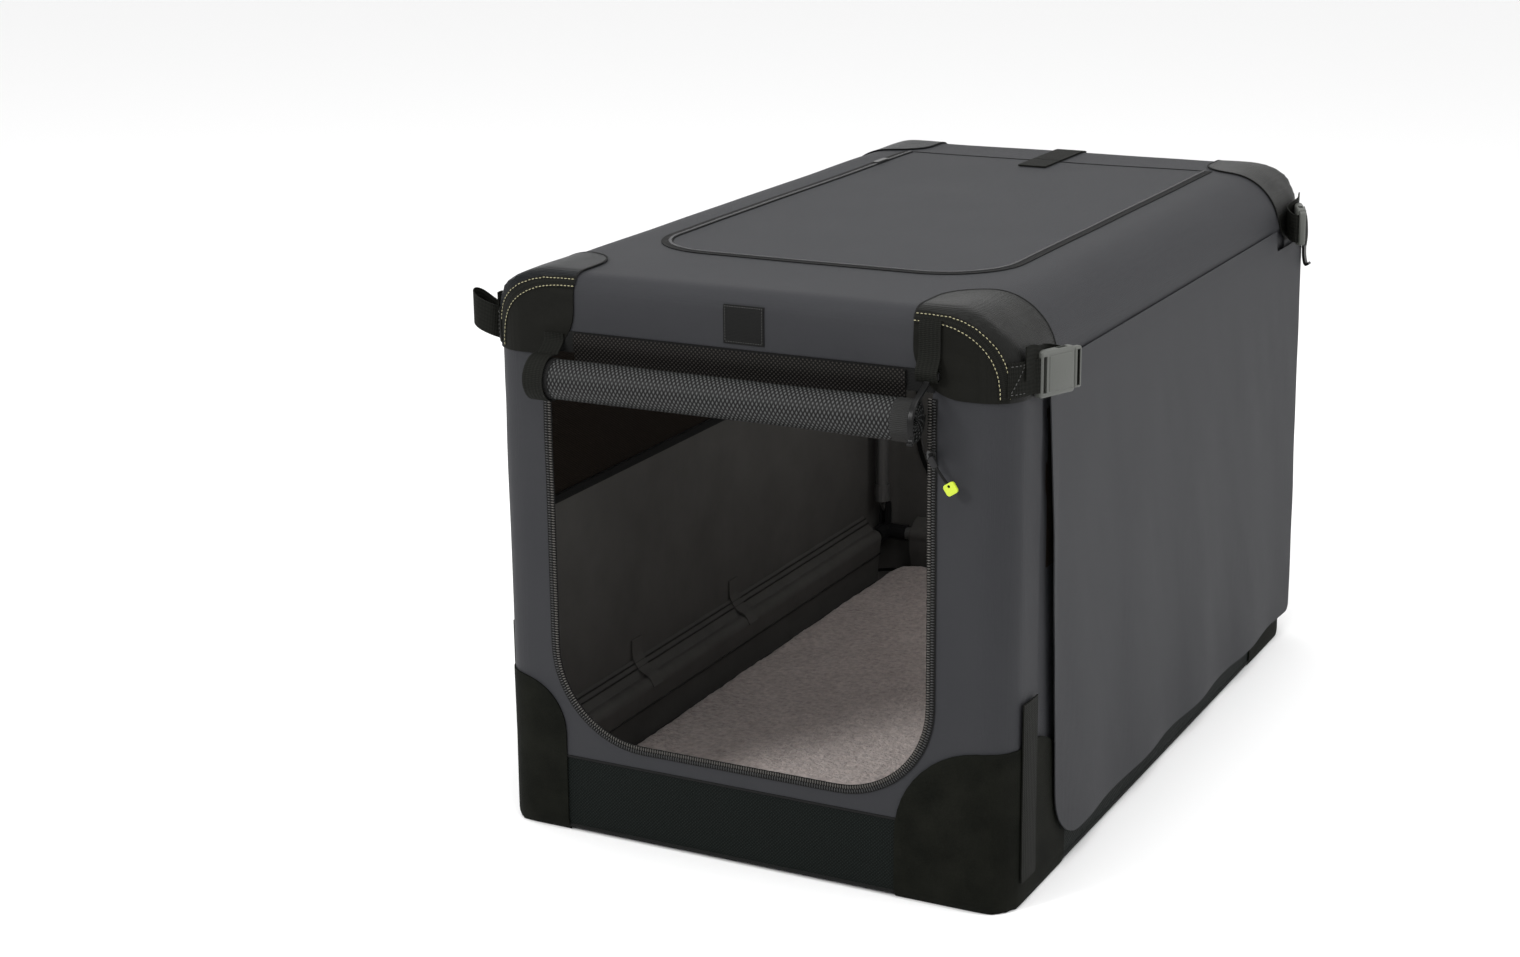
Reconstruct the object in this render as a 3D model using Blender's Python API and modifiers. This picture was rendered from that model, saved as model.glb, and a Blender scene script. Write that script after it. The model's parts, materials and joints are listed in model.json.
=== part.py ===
"""Soft folding dog crate: a knee-jointed steel frame inside a sewn fabric cover.

Metres, +Z up. The crate stands on z = 0 with its doorway towards -Y.
"""
from math import acos, atan2, cos, degrees, pi, radians, sin, tan

import bmesh
import bpy
from mathutils import Matrix, Vector

# Outside of the erected cover
WIDTH = 0.640
LENGTH = 1.050
HEIGHT = 0.670
PLAN_RADIUS = 0.040
SIDE_RADIUS = 0.070
END_RADIUS = 0.020
HOOD_DEEP = 0.072
SEAM_Z = HEIGHT - HOOD_DEEP
GAP = 0.0003
OVERRUN = 0.010
ARC_STEP = 15.0
ROUND_SIDES = 14
SMALL_SIDES = 10

# The door roll and its hook reach out in front, the rear zip behind
FRONT_REACH = 0.0568
REAR_REACH = 0.0023
FRONT_Y = (FRONT_REACH - REAR_REACH - LENGTH) / 2
REAR_Y = FRONT_Y + LENGTH
HALF = WIDTH / 2

# Cloth thicknesses
PANEL_CLOTH = 0.003
PATCH_CLOTH = 0.0018
LIGHT_CLOTH = 0.0015
WEBBING = 0.0015
WEBBING_WIDTH = 0.037

# Steel tubes and the lines that they run on
TUBE_RADIUS = 0.0095
SOCKET_RADIUS = 0.0125
CROSS_SOCKET_RADIUS = 0.0120
FRAME_SIDE_INSET = 0.026
FRAME_INSET = 0.024
FRAME_X = HALF - FRAME_SIDE_INSET
BASE_Z = 0.073
TOP_RAIL_DROP = 0.060
TOP_Z = HEIGHT - TOP_RAIL_DROP

# Fold: pin heights of foot and top joints, and how far a leg stands off its pins
FOOT_Z = 0.112
UPPER_PIN_DROP = 0.097
UPPER_PIN_Z = HEIGHT - UPPER_PIN_DROP
KNEE_Z = (FOOT_Z + UPPER_PIN_Z) / 2
LEG_OFFSET = 0.0125

RIGHT, LEFT = 1, -1
FRONT, REAR = -1, 1
SIDE_NAMES = {RIGHT: "right", LEFT: "left"}
END_NAMES = {FRONT: "front", REAR: "rear"}
CORNERS = [(side, end) for end in (FRONT, REAR) for side in (RIGHT, LEFT)]


def end_y(end, inset):
    """The y of a line this far inside the front or the rear face."""
    return REAR_Y - inset if end == REAR else FRONT_Y + inset


# Materials: colour, roughness, metallic
FINISHES = {
    "grey_cloth": ((0.052, 0.053, 0.058), 0.80, 0.0),
    "black_cloth": ((0.019, 0.019, 0.014), 0.85, 0.0),
    "black_mesh": ((0.010, 0.012, 0.011), 0.75, 0.0),
    "webbing": ((0.015, 0.015, 0.013), 0.70, 0.0),
    "steel_tube": ((0.300, 0.305, 0.310), 0.35, 1.0),
    "joint_plastic": ((0.016, 0.016, 0.017), 0.45, 0.0),
    "buckle_plastic": ((0.125, 0.128, 0.120), 0.50, 0.0),
    "zip_plastic": ((0.012, 0.012, 0.012), 0.50, 0.0),
    "fleece": ((0.270, 0.205, 0.190), 0.95, 0.0),
}


def make_material(name):
    colour, roughness, metallic = FINISHES[name]
    material = bpy.data.materials.new(name)
    material.use_nodes = True
    shader = material.node_tree.nodes["Principled BSDF"]
    shader.inputs["Base Color"].default_value = (*colour, 1.0)
    shader.inputs["Roughness"].default_value = roughness
    shader.inputs["Metallic"].default_value = metallic
    return material


for old in list(bpy.data.objects):
    bpy.data.objects.remove(old, do_unlink=True)
crate = bpy.data.collections.new("soft_dog_crate")
bpy.context.scene.collection.children.link(crate)
materials = {name: make_material(name) for name in FINISHES}


# Outlines: lists of (u, v) points in a plane

def arc(centre, radius, start, end):
    """Points on an arc from start to end degrees, both ends included."""
    steps = max(1, round(abs(end - start) / ARC_STEP))
    angles = [radians(start + (end - start) * i / steps) for i in range(steps + 1)]
    return [(centre[0] + radius * cos(a), centre[1] + radius * sin(a)) for a in angles]


def rounded(corners):
    """Closed outline through corners (u, v, radius), each rounded by its own arc."""
    points = []
    for i, (u, v, radius) in enumerate(corners):
        if not radius:
            points.append((u, v))
            continue
        here = Vector((u, v))
        back = (Vector(corners[i - 1][:2]) - here).normalized()
        onward = (Vector(corners[(i + 1) % len(corners)][:2]) - here).normalized()
        half_angle = acos(back.dot(onward)) / 2
        centre = here + (back + onward).normalized() * radius / sin(half_angle)
        reach = radius / tan(half_angle)
        first = here + back * reach - centre
        last = here + onward * reach - centre
        start = degrees(atan2(first.y, first.x))
        turn = (degrees(atan2(last.y, last.x)) - start + 180) % 360 - 180
        points += arc(centre, radius, start, start + turn)
    return points


def rectangle(low, high, radius=0.0):
    return rounded([(low[0], low[1], radius), (high[0], low[1], radius),
                    (high[0], high[1], radius), (low[0], high[1], radius)])


# Solids

MERGE = 0.000002
FLAT_ANGLE = radians(0.05)


def face_out(mesh):
    """Merge doubles, melt flat facets together and point every face outwards."""
    work = bmesh.new()
    work.from_mesh(mesh)
    bmesh.ops.remove_doubles(work, verts=work.verts, dist=MERGE)
    bmesh.ops.dissolve_limit(work, angle_limit=FLAT_ANGLE, verts=work.verts, edges=work.edges)
    bmesh.ops.recalc_face_normals(work, faces=work.faces)
    work.to_mesh(mesh)
    work.free()


def add(name, mesh):
    body = bpy.data.objects.new(name, mesh)
    crate.objects.link(body)
    return body


def as_mesh(source, name):
    """A mesh object from what the viewport shows of an object, which is then removed."""
    depsgraph = bpy.context.evaluated_depsgraph_get()
    mesh = bpy.data.meshes.new_from_object(source.evaluated_get(depsgraph))
    mesh.transform(source.matrix_world)
    bpy.data.objects.remove(source, do_unlink=True)
    face_out(mesh)
    return add(name, mesh)


# Where a plane's u, v and normal go in the world
PLANES = {
    "X": Matrix(((0, 0, 1), (1, 0, 0), (0, 1, 0))),
    "Y": Matrix(((1, 0, 0), (0, 0, 1), (0, 1, 0))),
    "Z": Matrix.Identity(3),
}


def prism(name, outline, low, high, axis):
    """A flat outline drawn across an axis and thickened from low to high along it."""
    curve = bpy.data.curves.new(name, "CURVE")
    curve.dimensions = "2D"
    curve.fill_mode = "BOTH"
    curve.extrude = (high - low) / 2
    spline = curve.splines.new("POLY")
    spline.points.add(len(outline) - 1)
    for point, (u, v) in zip(spline.points, outline):
        point.co = (u, v, 0, 1)
    spline.use_cyclic_u = True
    sheet = add(name, curve)
    bpy.context.view_layer.update()
    solid = as_mesh(sheet, name)
    solid.data.transform(Matrix.Translation((0, 0, (high + low) / 2)))
    solid.data.transform(PLANES[axis].to_4x4())
    face_out(solid.data)
    return solid


def box(name, low, high):
    return prism(name, rectangle(low[:2], high[:2]), low[2], high[2], "Z")


def cylinder(name, start, end, radius, sides=ROUND_SIDES):
    """A closed cylinder between two points."""
    start, end = Vector(start), Vector(end)
    run = end - start
    work = bmesh.new()
    bmesh.ops.create_cone(work, cap_ends=True, segments=sides, radius1=radius, radius2=radius,
                          depth=run.length)
    mesh = bpy.data.meshes.new(name)
    work.to_mesh(mesh)
    work.free()
    mesh.transform(run.to_track_quat("Z", "Y").to_matrix().to_4x4())
    mesh.transform(Matrix.Translation((start + end) / 2))
    return add(name, mesh)


def combine(target, tool, operation):
    """Union, difference or intersection; the tool is used up."""
    bpy.context.view_layer.update()
    modifier = target.modifiers.new(operation, "BOOLEAN")
    modifier.operation = operation
    modifier.object = tool
    bpy.context.view_layer.update()
    depsgraph = bpy.context.evaluated_depsgraph_get()
    mesh = bpy.data.meshes.new_from_object(target.evaluated_get(depsgraph))
    target.modifiers.clear()
    target.data = mesh
    bpy.data.objects.remove(tool, do_unlink=True)
    return target


def cut(target, tool):
    return combine(target, tool, "DIFFERENCE")


def keep(target, tool):
    return combine(target, tool, "INTERSECT")


def join(target, tool):
    return combine(target, tool, "UNION")


def tube(name, points, radius):
    """A round tube along points, with closed ends."""
    curve = bpy.data.curves.new(name, "CURVE")
    curve.dimensions = "3D"
    curve.bevel_depth = radius
    curve.bevel_resolution = 3
    curve.use_fill_caps = True
    spline = curve.splines.new("POLY")
    spline.points.add(len(points) - 1)
    for point, place in zip(spline.points, points):
        point.co = (*place, 1)
    rail = add(name, curve)
    bpy.context.view_layer.update()
    return as_mesh(rail, name)


def plan_form(name, grow, low, high):
    """The cover's outline in plan, grown outwards and thickened in z."""
    outline = rectangle((-HALF - grow, FRONT_Y - grow), (HALF + grow, REAR_Y + grow), PLAN_RADIUS + grow)
    return prism(name, outline, low, high, "Z")


def hood_form(name, grow, low):
    """The cover's top with its rounded long edges and end edges, grown outwards."""
    solid = plan_form(name, grow, low, HEIGHT + grow)
    half = HALF + grow
    top = HEIGHT + grow
    section = rounded([(-half, low, 0), (half, low, 0), (half, top, SIDE_RADIUS + grow),
                       (-half, top, SIDE_RADIUS + grow)])
    keep(solid, prism("section", section, FRONT_Y - OVERRUN, REAR_Y + OVERRUN, "Y"))
    front, rear = FRONT_Y - grow, REAR_Y + grow
    profile = rounded([(front, low, 0), (rear, low, 0), (rear, top, END_RADIUS + grow),
                       (front, top, END_RADIUS + grow)])
    return keep(solid, prism("profile", profile, -HALF - OVERRUN, HALF + OVERRUN, "X"))


def plan_skin(name, grow, thickness, low, high):
    solid = plan_form(name, grow, low, high)
    return cut(solid, plan_form("inside", grow - thickness, low - OVERRUN, high + OVERRUN))


# Floor tray: a sewn dish with a mesh skirt

SKIRT_Z = 0.0935
FLOOR_CLOTH = 0.004

floor_tray = plan_form("floor_tray", 0, 0, SKIRT_Z)
cut(floor_tray, plan_form("inside", -PANEL_CLOTH, FLOOR_CLOTH, SKIRT_Z + OVERRUN))

# Front and rear panels, each wrapped round two upright corners, with a doorway

WRAP = 0.080
DOOR_LEFT_INSET = 0.075
DOOR_RIGHT_INSET = 0.0915
DOOR_LEFT = DOOR_LEFT_INSET - HALF
DOOR_RIGHT = HALF - DOOR_RIGHT_INSET
DOOR_LOW = 0.117
FRONT_HEAD_DROP = 0.079
REAR_HEAD_DROP = 0.098
DOOR_HIGH = {FRONT: HEIGHT - FRONT_HEAD_DROP, REAR: HEIGHT - REAR_HEAD_DROP}
DOOR_RADIUS = 0.113
DOOR_HEAD_RADIUS = 0.006
PANEL_LOW = SKIRT_Z + GAP
PANEL_HIGH = SEAM_Z - GAP


def doorway(end, shrink):
    return rounded([
        (DOOR_LEFT + shrink, DOOR_LOW + shrink, DOOR_RADIUS - shrink),
        (DOOR_RIGHT - shrink, DOOR_LOW + shrink, DOOR_RADIUS - shrink),
        (DOOR_RIGHT - shrink, DOOR_HIGH[end] - shrink, DOOR_HEAD_RADIUS),
        (DOOR_LEFT + shrink, DOOR_HIGH[end] - shrink, DOOR_HEAD_RADIUS),
    ])


end_panels = {}
for end in (FRONT, REAR):
    name = END_NAMES[end] + "_panel"
    panel = plan_skin(name, 0, PANEL_CLOTH, PANEL_LOW, PANEL_HIGH)
    ys = sorted((end_y(end, WRAP), end_y(end, -OVERRUN)))
    keep(panel, box("end_region", (-HALF - OVERRUN, ys[0], 0), (HALF + OVERRUN, ys[1], HEIGHT)))
    cut(panel, prism("doorway", doorway(end, 0), ys[0], ys[1], "Y"))
    end_panels[end] = panel

# Side walls, set in a little behind the curtains, each with a mesh window

WALL_INSET = 0.003
MESH_CLOTH = 0.0008
WINDOW_LOW = 0.370
WINDOW_DROP = 0.095
WINDOW_HIGH = HEIGHT - WINDOW_DROP
WINDOW_END = 0.075
WINDOW_RADIUS = 0.030

walls = {}
for side in (RIGHT, LEFT):
    outside = HALF - WALL_INSET
    inside = outside - PANEL_CLOTH
    wall_front = FRONT_Y + WRAP + GAP
    wall_rear = REAR_Y - WRAP - GAP
    xs = sorted((side * outside, side * inside))
    wall = box(SIDE_NAMES[side] + "_wall", (xs[0], wall_front, PANEL_LOW), (xs[1], wall_rear, PANEL_HIGH))
    window = rectangle((wall_front + WINDOW_END, WINDOW_LOW), (wall_rear - WINDOW_END, WINDOW_HIGH),
                       WINDOW_RADIUS)
    middle = side * (outside + inside) / 2
    for face in (1, -1):
        reach = sorted((middle + face * MESH_CLOTH / 2, middle + face * OVERRUN))
        cut(wall, prism("window_pocket", window, reach[0], reach[1], "X"))
    walls[side] = wall

# Top cover with its hatch opening, and the hatch

HATCH_LEFT_INSET = 0.110
HATCH_RIGHT_INSET = 0.107
HATCH_FRONT_INSET = 0.175
HATCH_REAR_INSET = 0.115
HATCH_LEFT = HATCH_LEFT_INSET - HALF
HATCH_RIGHT = HALF - HATCH_RIGHT_INSET
HATCH_FRONT = FRONT_Y + HATCH_FRONT_INSET
HATCH_HINGE = REAR_Y - HATCH_REAR_INSET
HATCH_RADIUS = 0.080
HATCH_CLOTH = 0.002
HATCH_GAP = 0.0005


def hatch_outline(shrink):
    return rounded([
        (HATCH_LEFT + shrink, HATCH_FRONT + shrink, HATCH_RADIUS - shrink),
        (HATCH_RIGHT - shrink, HATCH_FRONT + shrink, HATCH_RADIUS - shrink),
        (HATCH_RIGHT - shrink, HATCH_HINGE - shrink, 0),
        (HATCH_LEFT + shrink, HATCH_HINGE - shrink, 0),
    ])


top_cover = hood_form("top_cover", 0, SEAM_Z)
cut(top_cover, hood_form("inside", -PANEL_CLOTH, SEAM_Z - OVERRUN))
cut(top_cover, prism("hatch_opening", hatch_outline(0), HEIGHT - OVERRUN, HEIGHT + OVERRUN, "Z"))
top_hatch = prism("top_hatch", hatch_outline(HATCH_GAP), HEIGHT - HATCH_CLOTH, HEIGHT, "Z")

# Reinforcing patches, sewn over the corners

PATCH_DROP = 0.094
PATCH_LOW = HEIGHT - PATCH_DROP
TOP_PATCH_WIDTH = 0.114
TOP_PATCH_IN = HALF - TOP_PATCH_WIDTH
TOP_PATCH_BACK = 0.115
TOP_PATCH_RADIUS = 0.055
RIGHT_FOOT_PATCH_WIDTH = 0.134
LEFT_FOOT_PATCH_WIDTH = 0.086
FOOT_PATCH_IN = {RIGHT: HALF - RIGHT_FOOT_PATCH_WIDTH, LEFT: HALF - LEFT_FOOT_PATCH_WIDTH}
FOOT_PATCH_BACK = 0.168
FOOT_PATCH_HIGH = 0.187
RIGHT_FOOT_PATCH_RADIUS = 0.110
LEFT_FOOT_PATCH_RADIUS = 0.065
FOOT_PATCH_RADIUS = {RIGHT: RIGHT_FOOT_PATCH_RADIUS, LEFT: LEFT_FOOT_PATCH_RADIUS}


def corner_region(side, end, reach_in, reach_back, low, high, low_radius, high_radius, plan_radius):
    """The space over one corner: three outlines, seen from the end, the side and above."""
    outer = side * (HALF + OVERRUN)
    inner = side * reach_in
    beyond = end_y(end, -OVERRUN)
    back = end_y(end, reach_back)
    region = prism("from_end", rounded([(outer, low, 0), (inner, low, low_radius),
                                        (inner, high, high_radius), (outer, high, 0)]),
                   min(beyond, back), max(beyond, back), "Y")
    from_side = rounded([(beyond, low, 0), (back, low, low_radius), (back, high, high_radius),
                         (beyond, high, 0)])
    keep(region, prism("from_side", from_side, -HALF - 2 * OVERRUN, HALF + 2 * OVERRUN, "X"))
    if plan_radius:
        from_above = rounded([(outer, beyond, 0), (inner, beyond, 0), (inner, back, plan_radius),
                              (outer, back, 0)])
        keep(region, prism("from_above", from_above, low - OVERRUN, high + OVERRUN, "Z"))
    return region


def patch_skin(name, form, low):
    """A cloth skin that lies over the cover, hood-shaped or plan-shaped."""
    solid = form(name, GAP + PATCH_CLOTH, low)
    return cut(solid, form("inside", GAP, low - OVERRUN))


def wall_form(name, grow, low):
    return plan_form(name, grow, low, FOOT_PATCH_HIGH + OVERRUN * 2)


top_patches = {}
foot_patches = {}
for side, end in CORNERS:
    corner = END_NAMES[end] + "_" + SIDE_NAMES[side]
    patch = patch_skin("top_patch_" + corner, hood_form, PATCH_LOW - OVERRUN)
    keep(patch, corner_region(side, end, TOP_PATCH_IN, TOP_PATCH_BACK, PATCH_LOW, HEIGHT + OVERRUN,
                              TOP_PATCH_RADIUS, 0, TOP_PATCH_RADIUS))
    top_patches[side, end] = patch
    patch = patch_skin("foot_patch_" + corner, wall_form, 0)
    keep(patch, corner_region(side, end, FOOT_PATCH_IN[side], FOOT_PATCH_BACK, -OVERRUN,
                              FOOT_PATCH_HIGH, 0, FOOT_PATCH_RADIUS[side], 0))
    foot_patches[side, end] = patch

# Corner strap loops, each with a side-release buckle: places are (along, across) from where
# the socket starts, drawn for the front right corner and mirrored for the others

STRAP_DROP = 0.080
STRAP_Z = HEIGHT - STRAP_DROP
BUCKLE_START_OUT = 0.0100
BUCKLE_START_BACK = 0.056
BUCKLE_TURN = radians(22.5)
SOCKET_LENGTH = 0.040
SOCKET_THICK = 0.012
BUCKLE_WIDTH = 0.050
BUCKLE_RADIUS = 0.0035
MOUTH_DEPTH = 0.029
MOUTH_THICK = 0.0066
MOUTH_WIDTH = 0.042
SLOT_LENGTH = 0.005
PRONG_LENGTH = 0.024
PRONG_WIDTH = 0.0065
PRONG_THICK = 0.0046
TONGUE_BASE = 0.012
TONGUE_THICK = 0.0085
LOOP_OFFSET = 0.0088
LOOP_START = 0.004
RELEASE_LENGTH = 0.014
RELEASE_THICK = 0.0056
STRAP_ROOT_BACK = 0.030


def strap_frame(side, end):
    """Places the buckle's own axes: along the buckle, inwards across it, and up."""
    along = Vector((side * sin(BUCKLE_TURN), -end * cos(BUCKLE_TURN), 0))
    across = Vector((-side * cos(BUCKLE_TURN), -end * sin(BUCKLE_TURN), 0))
    start = Vector((side * (HALF + BUCKLE_START_OUT), end_y(end, BUCKLE_START_BACK), STRAP_Z))
    frame = Matrix((along, across, Vector((0, 0, 1)))).transposed().to_4x4()
    frame.translation = start
    return frame


def buckle_piece(name, outline, height, frame):
    piece = prism(name, outline, -height / 2, height / 2, "Z")
    piece.data.transform(frame)
    face_out(piece.data)
    return piece


def make_socket(name, frame):
    """The hollow half: a flat case with a mouth, side windows and a webbing slot."""
    case = buckle_piece(name, rectangle((0, -SOCKET_THICK / 2), (SOCKET_LENGTH, SOCKET_THICK / 2),
                                        BUCKLE_RADIUS), BUCKLE_WIDTH, frame)
    mouth = rectangle((SOCKET_LENGTH - MOUTH_DEPTH, -MOUTH_THICK / 2),
                      (SOCKET_LENGTH + OVERRUN, MOUTH_THICK / 2))
    cut(case, buckle_piece("mouth", mouth, MOUTH_WIDTH, frame))
    window_start = SOCKET_LENGTH - MOUTH_DEPTH + SLOT_LENGTH
    window = rectangle((window_start, -RELEASE_THICK / 2), (window_start + RELEASE_LENGTH, RELEASE_THICK / 2))
    cut(case, buckle_piece("side_windows", window, BUCKLE_WIDTH + OVERRUN, frame))
    return case


def make_tongue(name, frame):
    """The plug half: a base with two prongs and a guide, and its webbing turned back behind it."""
    start = SOCKET_LENGTH + GAP
    base = buckle_piece(name, rectangle((start, -TONGUE_THICK / 2), (start + TONGUE_BASE, TONGUE_THICK / 2),
                                        BUCKLE_RADIUS), BUCKLE_WIDTH - 2 * BUCKLE_RADIUS, frame)
    for place in (-1, 0, 1):
        middle = place * (MOUTH_WIDTH - PRONG_WIDTH - SLOT_LENGTH / 2) / 2
        prong = box("prong", (start - PRONG_LENGTH, -PRONG_THICK / 2, middle - PRONG_WIDTH / 2),
                    (start + BUCKLE_RADIUS, PRONG_THICK / 2, middle + PRONG_WIDTH / 2))
        prong.data.transform(frame)
        face_out(prong.data)
        join(base, prong)
    turn = start + TONGUE_BASE - BUCKLE_RADIUS / 2
    outer = LOOP_OFFSET / 2 + WEBBING / 2
    inner = LOOP_OFFSET / 2 - WEBBING / 2
    middle = (turn, LOOP_OFFSET / 2)
    strip = [(LOOP_START, LOOP_OFFSET - WEBBING / 2), (LOOP_START, LOOP_OFFSET + WEBBING / 2)]
    hairpin = arc(middle, outer, 90, -90) + arc(middle, inner, -90, 90)
    join(base, buckle_piece("turned_webbing", strip[1:] + hairpin + strip[:1], WEBBING_WIDTH, frame))
    return base


tongues = {}
for side, end in CORNERS:
    corner = END_NAMES[end] + "_" + SIDE_NAMES[side]
    frame = strap_frame(side, end)
    socket = make_socket("socket", frame)
    root_x = side * (HALF + GAP + PATCH_CLOTH / 2)
    root = Vector((root_x, end_y(end, STRAP_ROOT_BACK), 0))
    knee = Vector((root_x, end_y(end, PLAN_RADIUS + PATCH_CLOTH), 0))
    tip = frame @ Vector((SLOT_LENGTH, 0, 0))
    out = Vector((side * WEBBING / 2, 0, 0))
    strand = [root - out, knee - out, tip - out, tip + out, knee + out, root + out]
    strap = prism("strap", [point[:2] for point in strand], STRAP_Z - WEBBING_WIDTH / 2,
                  STRAP_Z + WEBBING_WIDTH / 2, "Z")
    join(socket, strap)
    join(top_patches[side, end], socket)
    tongues[side, end] = make_tongue("buckle_tongue_" + corner, frame)

# Base frame and top frame: tubes in moulded joints

TUBE_INSERT = 0.018
BORE_SLACK = 0.0003
SLEEVE_LENGTH = 0.036
JOINT_NOSE = 0.0096
JOINT_SHOULDER = 0.0054
HOOP_DROP = 0.018
HOOP_Z = HEIGHT - HOOP_DROP
HOOP_START = 0.004
HOOP_SLEEVE = 0.012
FORK_INNER = 0.0029
FORK_OUTER = 0.0065
TAB_HALF = 0.0025
EYE_RADIUS = 0.0080
PIN_RADIUS = 0.0025
PIN_HOLE = 0.0029
CAP_RADIUS = 0.0115
CAP_GAP = 0.012
CAP_LENGTH = 0.026
BUTTON_RADIUS = 0.0050
BUTTON_POCKET = 0.0053
BUTTON_TRAVEL = 0.0022
BUTTON_PROUD = 0.0040

tube_start = SLEEVE_LENGTH - TUBE_INSERT


def corner_joint(name, side, end, rail_z, pin_z, upright):
    """A moulded corner: a sleeve for the side rail, one for the cross tube or the hoop, and a
    fork with a pin for the leg."""
    x, y = side * FRAME_X, end_y(end, FRAME_INSET)
    rail_end = (x, y - end * SLEEVE_LENGTH, rail_z)
    cross_end = (x, y, rail_z + HOOP_SLEEVE) if upright else (x - side * SLEEVE_LENGTH, y, rail_z)
    towards_pin = 1 if pin_z > rail_z else -1
    body = cylinder(name, (x, y + end * JOINT_NOSE, rail_z), rail_end, SOCKET_RADIUS)
    cross_start = (x, y, rail_z - EYE_RADIUS) if upright else (x + side * JOINT_SHOULDER, y, rail_z)
    join(body, cylinder("cross_sleeve", cross_start, cross_end, CROSS_SOCKET_RADIUS))
    eye = arc((y, pin_z), EYE_RADIUS, 0, 180 * towards_pin)
    root_z = rail_z - towards_pin * PIN_RADIUS
    ear = eye + [(y - EYE_RADIUS, root_z), (y + EYE_RADIUS, root_z)]
    for face in (1, -1):
        reach = sorted((x + face * FORK_INNER, x + face * FORK_OUTER))
        join(body, prism("ear", ear, reach[0], reach[1], "X"))
    join(body, cylinder("pin", (x - FORK_INNER - MERGE, y, pin_z), (x + FORK_INNER + MERGE, y, pin_z),
                        PIN_RADIUS, SMALL_SIDES))
    bore = TUBE_RADIUS + BORE_SLACK
    rail_stop = (x, y - end * (tube_start - GAP), rail_z)
    cut(body, cylinder("rail_bore", rail_stop, (x, y - end * (SLEEVE_LENGTH + OVERRUN), rail_z), bore))
    if upright:
        stop = (x, y, rail_z + HOOP_START - GAP)
        beyond = (x, y, rail_z + SLEEVE_LENGTH)
    else:
        stop = (x - side * (tube_start - GAP), y, rail_z)
        beyond = (x - side * (SLEEVE_LENGTH + OVERRUN), y, rail_z)
    return cut(body, cylinder("cross_bore", stop, beyond, bore))


foot_joints = {}
top_joints = {}
for side, end in CORNERS:
    corner = END_NAMES[end] + "_" + SIDE_NAMES[side]
    foot_joints[side, end] = corner_joint("foot_joint_" + corner, side, end, BASE_Z, FOOT_Z, False)
    top_joints[side, end] = corner_joint("top_joint_" + corner, side, end, TOP_Z, UPPER_PIN_Z, True)

base_rails = {}
top_rails = {}
for side in (RIGHT, LEFT):
    for rails, label, z in ((base_rails, "base_rail_", BASE_Z), (top_rails, "top_rail_", TOP_Z)):
        ends = [(side * FRAME_X, end_y(end, FRAME_INSET + tube_start), z) for end in (FRONT, REAR)]
        rails[side] = cylinder(label + SIDE_NAMES[side], ends[0], ends[1], TUBE_RADIUS)

base_crosses = {}
hoops = {}
for end in (FRONT, REAR):
    y = end_y(end, FRAME_INSET)
    reach = FRAME_X - tube_start
    base_crosses[end] = cylinder("base_cross_" + END_NAMES[end], (-reach, y, BASE_Z), (reach, y, BASE_Z),
                                 TUBE_RADIUS)
    bend_low = TOP_Z + HOOP_SLEEVE
    radius = HOOP_Z - bend_low
    right_bend = arc((FRAME_X - radius, bend_low), radius, 0, 90)
    left_bend = [(-u, v) for u, v in reversed(right_bend)]
    start = TOP_Z + HOOP_START
    path = [(FRAME_X, start)] + right_bend + left_bend + [(-FRAME_X, start)]
    hoops[end] = tube("hoop_" + END_NAMES[end], [(u, y, v) for u, v in path], TUBE_RADIUS)

# Legs: a tube that stands off its pins, so that the two halves lie side by side when folded

lower_legs = {}
upper_legs = {}
buttons = {}


def leg_end(leg, side, end, pin_z, direction, fork):
    """A cap round the tube's end and the tab or fork that reaches back to the pin."""
    x, y = side * FRAME_X, end_y(end, FRAME_INSET)
    tube_y = y - end * LEG_OFFSET
    cap_start = pin_z + direction * CAP_GAP
    cap_end = cap_start + direction * CAP_LENGTH
    join(leg, cylinder("cap", (x, tube_y, cap_start), (x, tube_y, cap_end), CAP_RADIUS))
    # Drawn with the tube above and to the +u side of the pin, then turned to suit
    neck_z = CAP_GAP + PIN_RADIUS
    outline = arc((0, 0), EYE_RADIUS, 170, 330)
    outline += [(LEG_OFFSET + EYE_RADIUS, neck_z), (LEG_OFFSET - EYE_RADIUS, neck_z)]
    outline = [(y - end * u, pin_z + direction * v) for u, v in outline]
    if fork:
        spans = ((FORK_INNER, FORK_OUTER), (-FORK_OUTER, -FORK_INNER))
    else:
        spans = ((-TAB_HALF, TAB_HALF),)
    for low, high in spans:
        join(leg, prism("arm", outline, x + low, x + high, "X"))
    if fork:
        join(leg, cylinder("pin", (x - FORK_INNER - MERGE, y, pin_z), (x + FORK_INNER + MERGE, y, pin_z),
                           PIN_RADIUS, SMALL_SIDES))
    else:
        cut(leg, cylinder("hole", (x - OVERRUN, y, pin_z), (x + OVERRUN, y, pin_z), PIN_HOLE, SMALL_SIDES))


def make_leg(name, side, end, low_pin, high_pin, low_fork):
    tube_y = end_y(end, FRAME_INSET + LEG_OFFSET)
    inset = CAP_GAP + CAP_LENGTH / 2
    x = side * FRAME_X
    leg = cylinder(name, (x, tube_y, low_pin + inset), (x, tube_y, high_pin - inset), TUBE_RADIUS)
    leg_end(leg, side, end, low_pin, 1, low_fork)
    leg_end(leg, side, end, high_pin, -1, False)
    return leg


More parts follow.
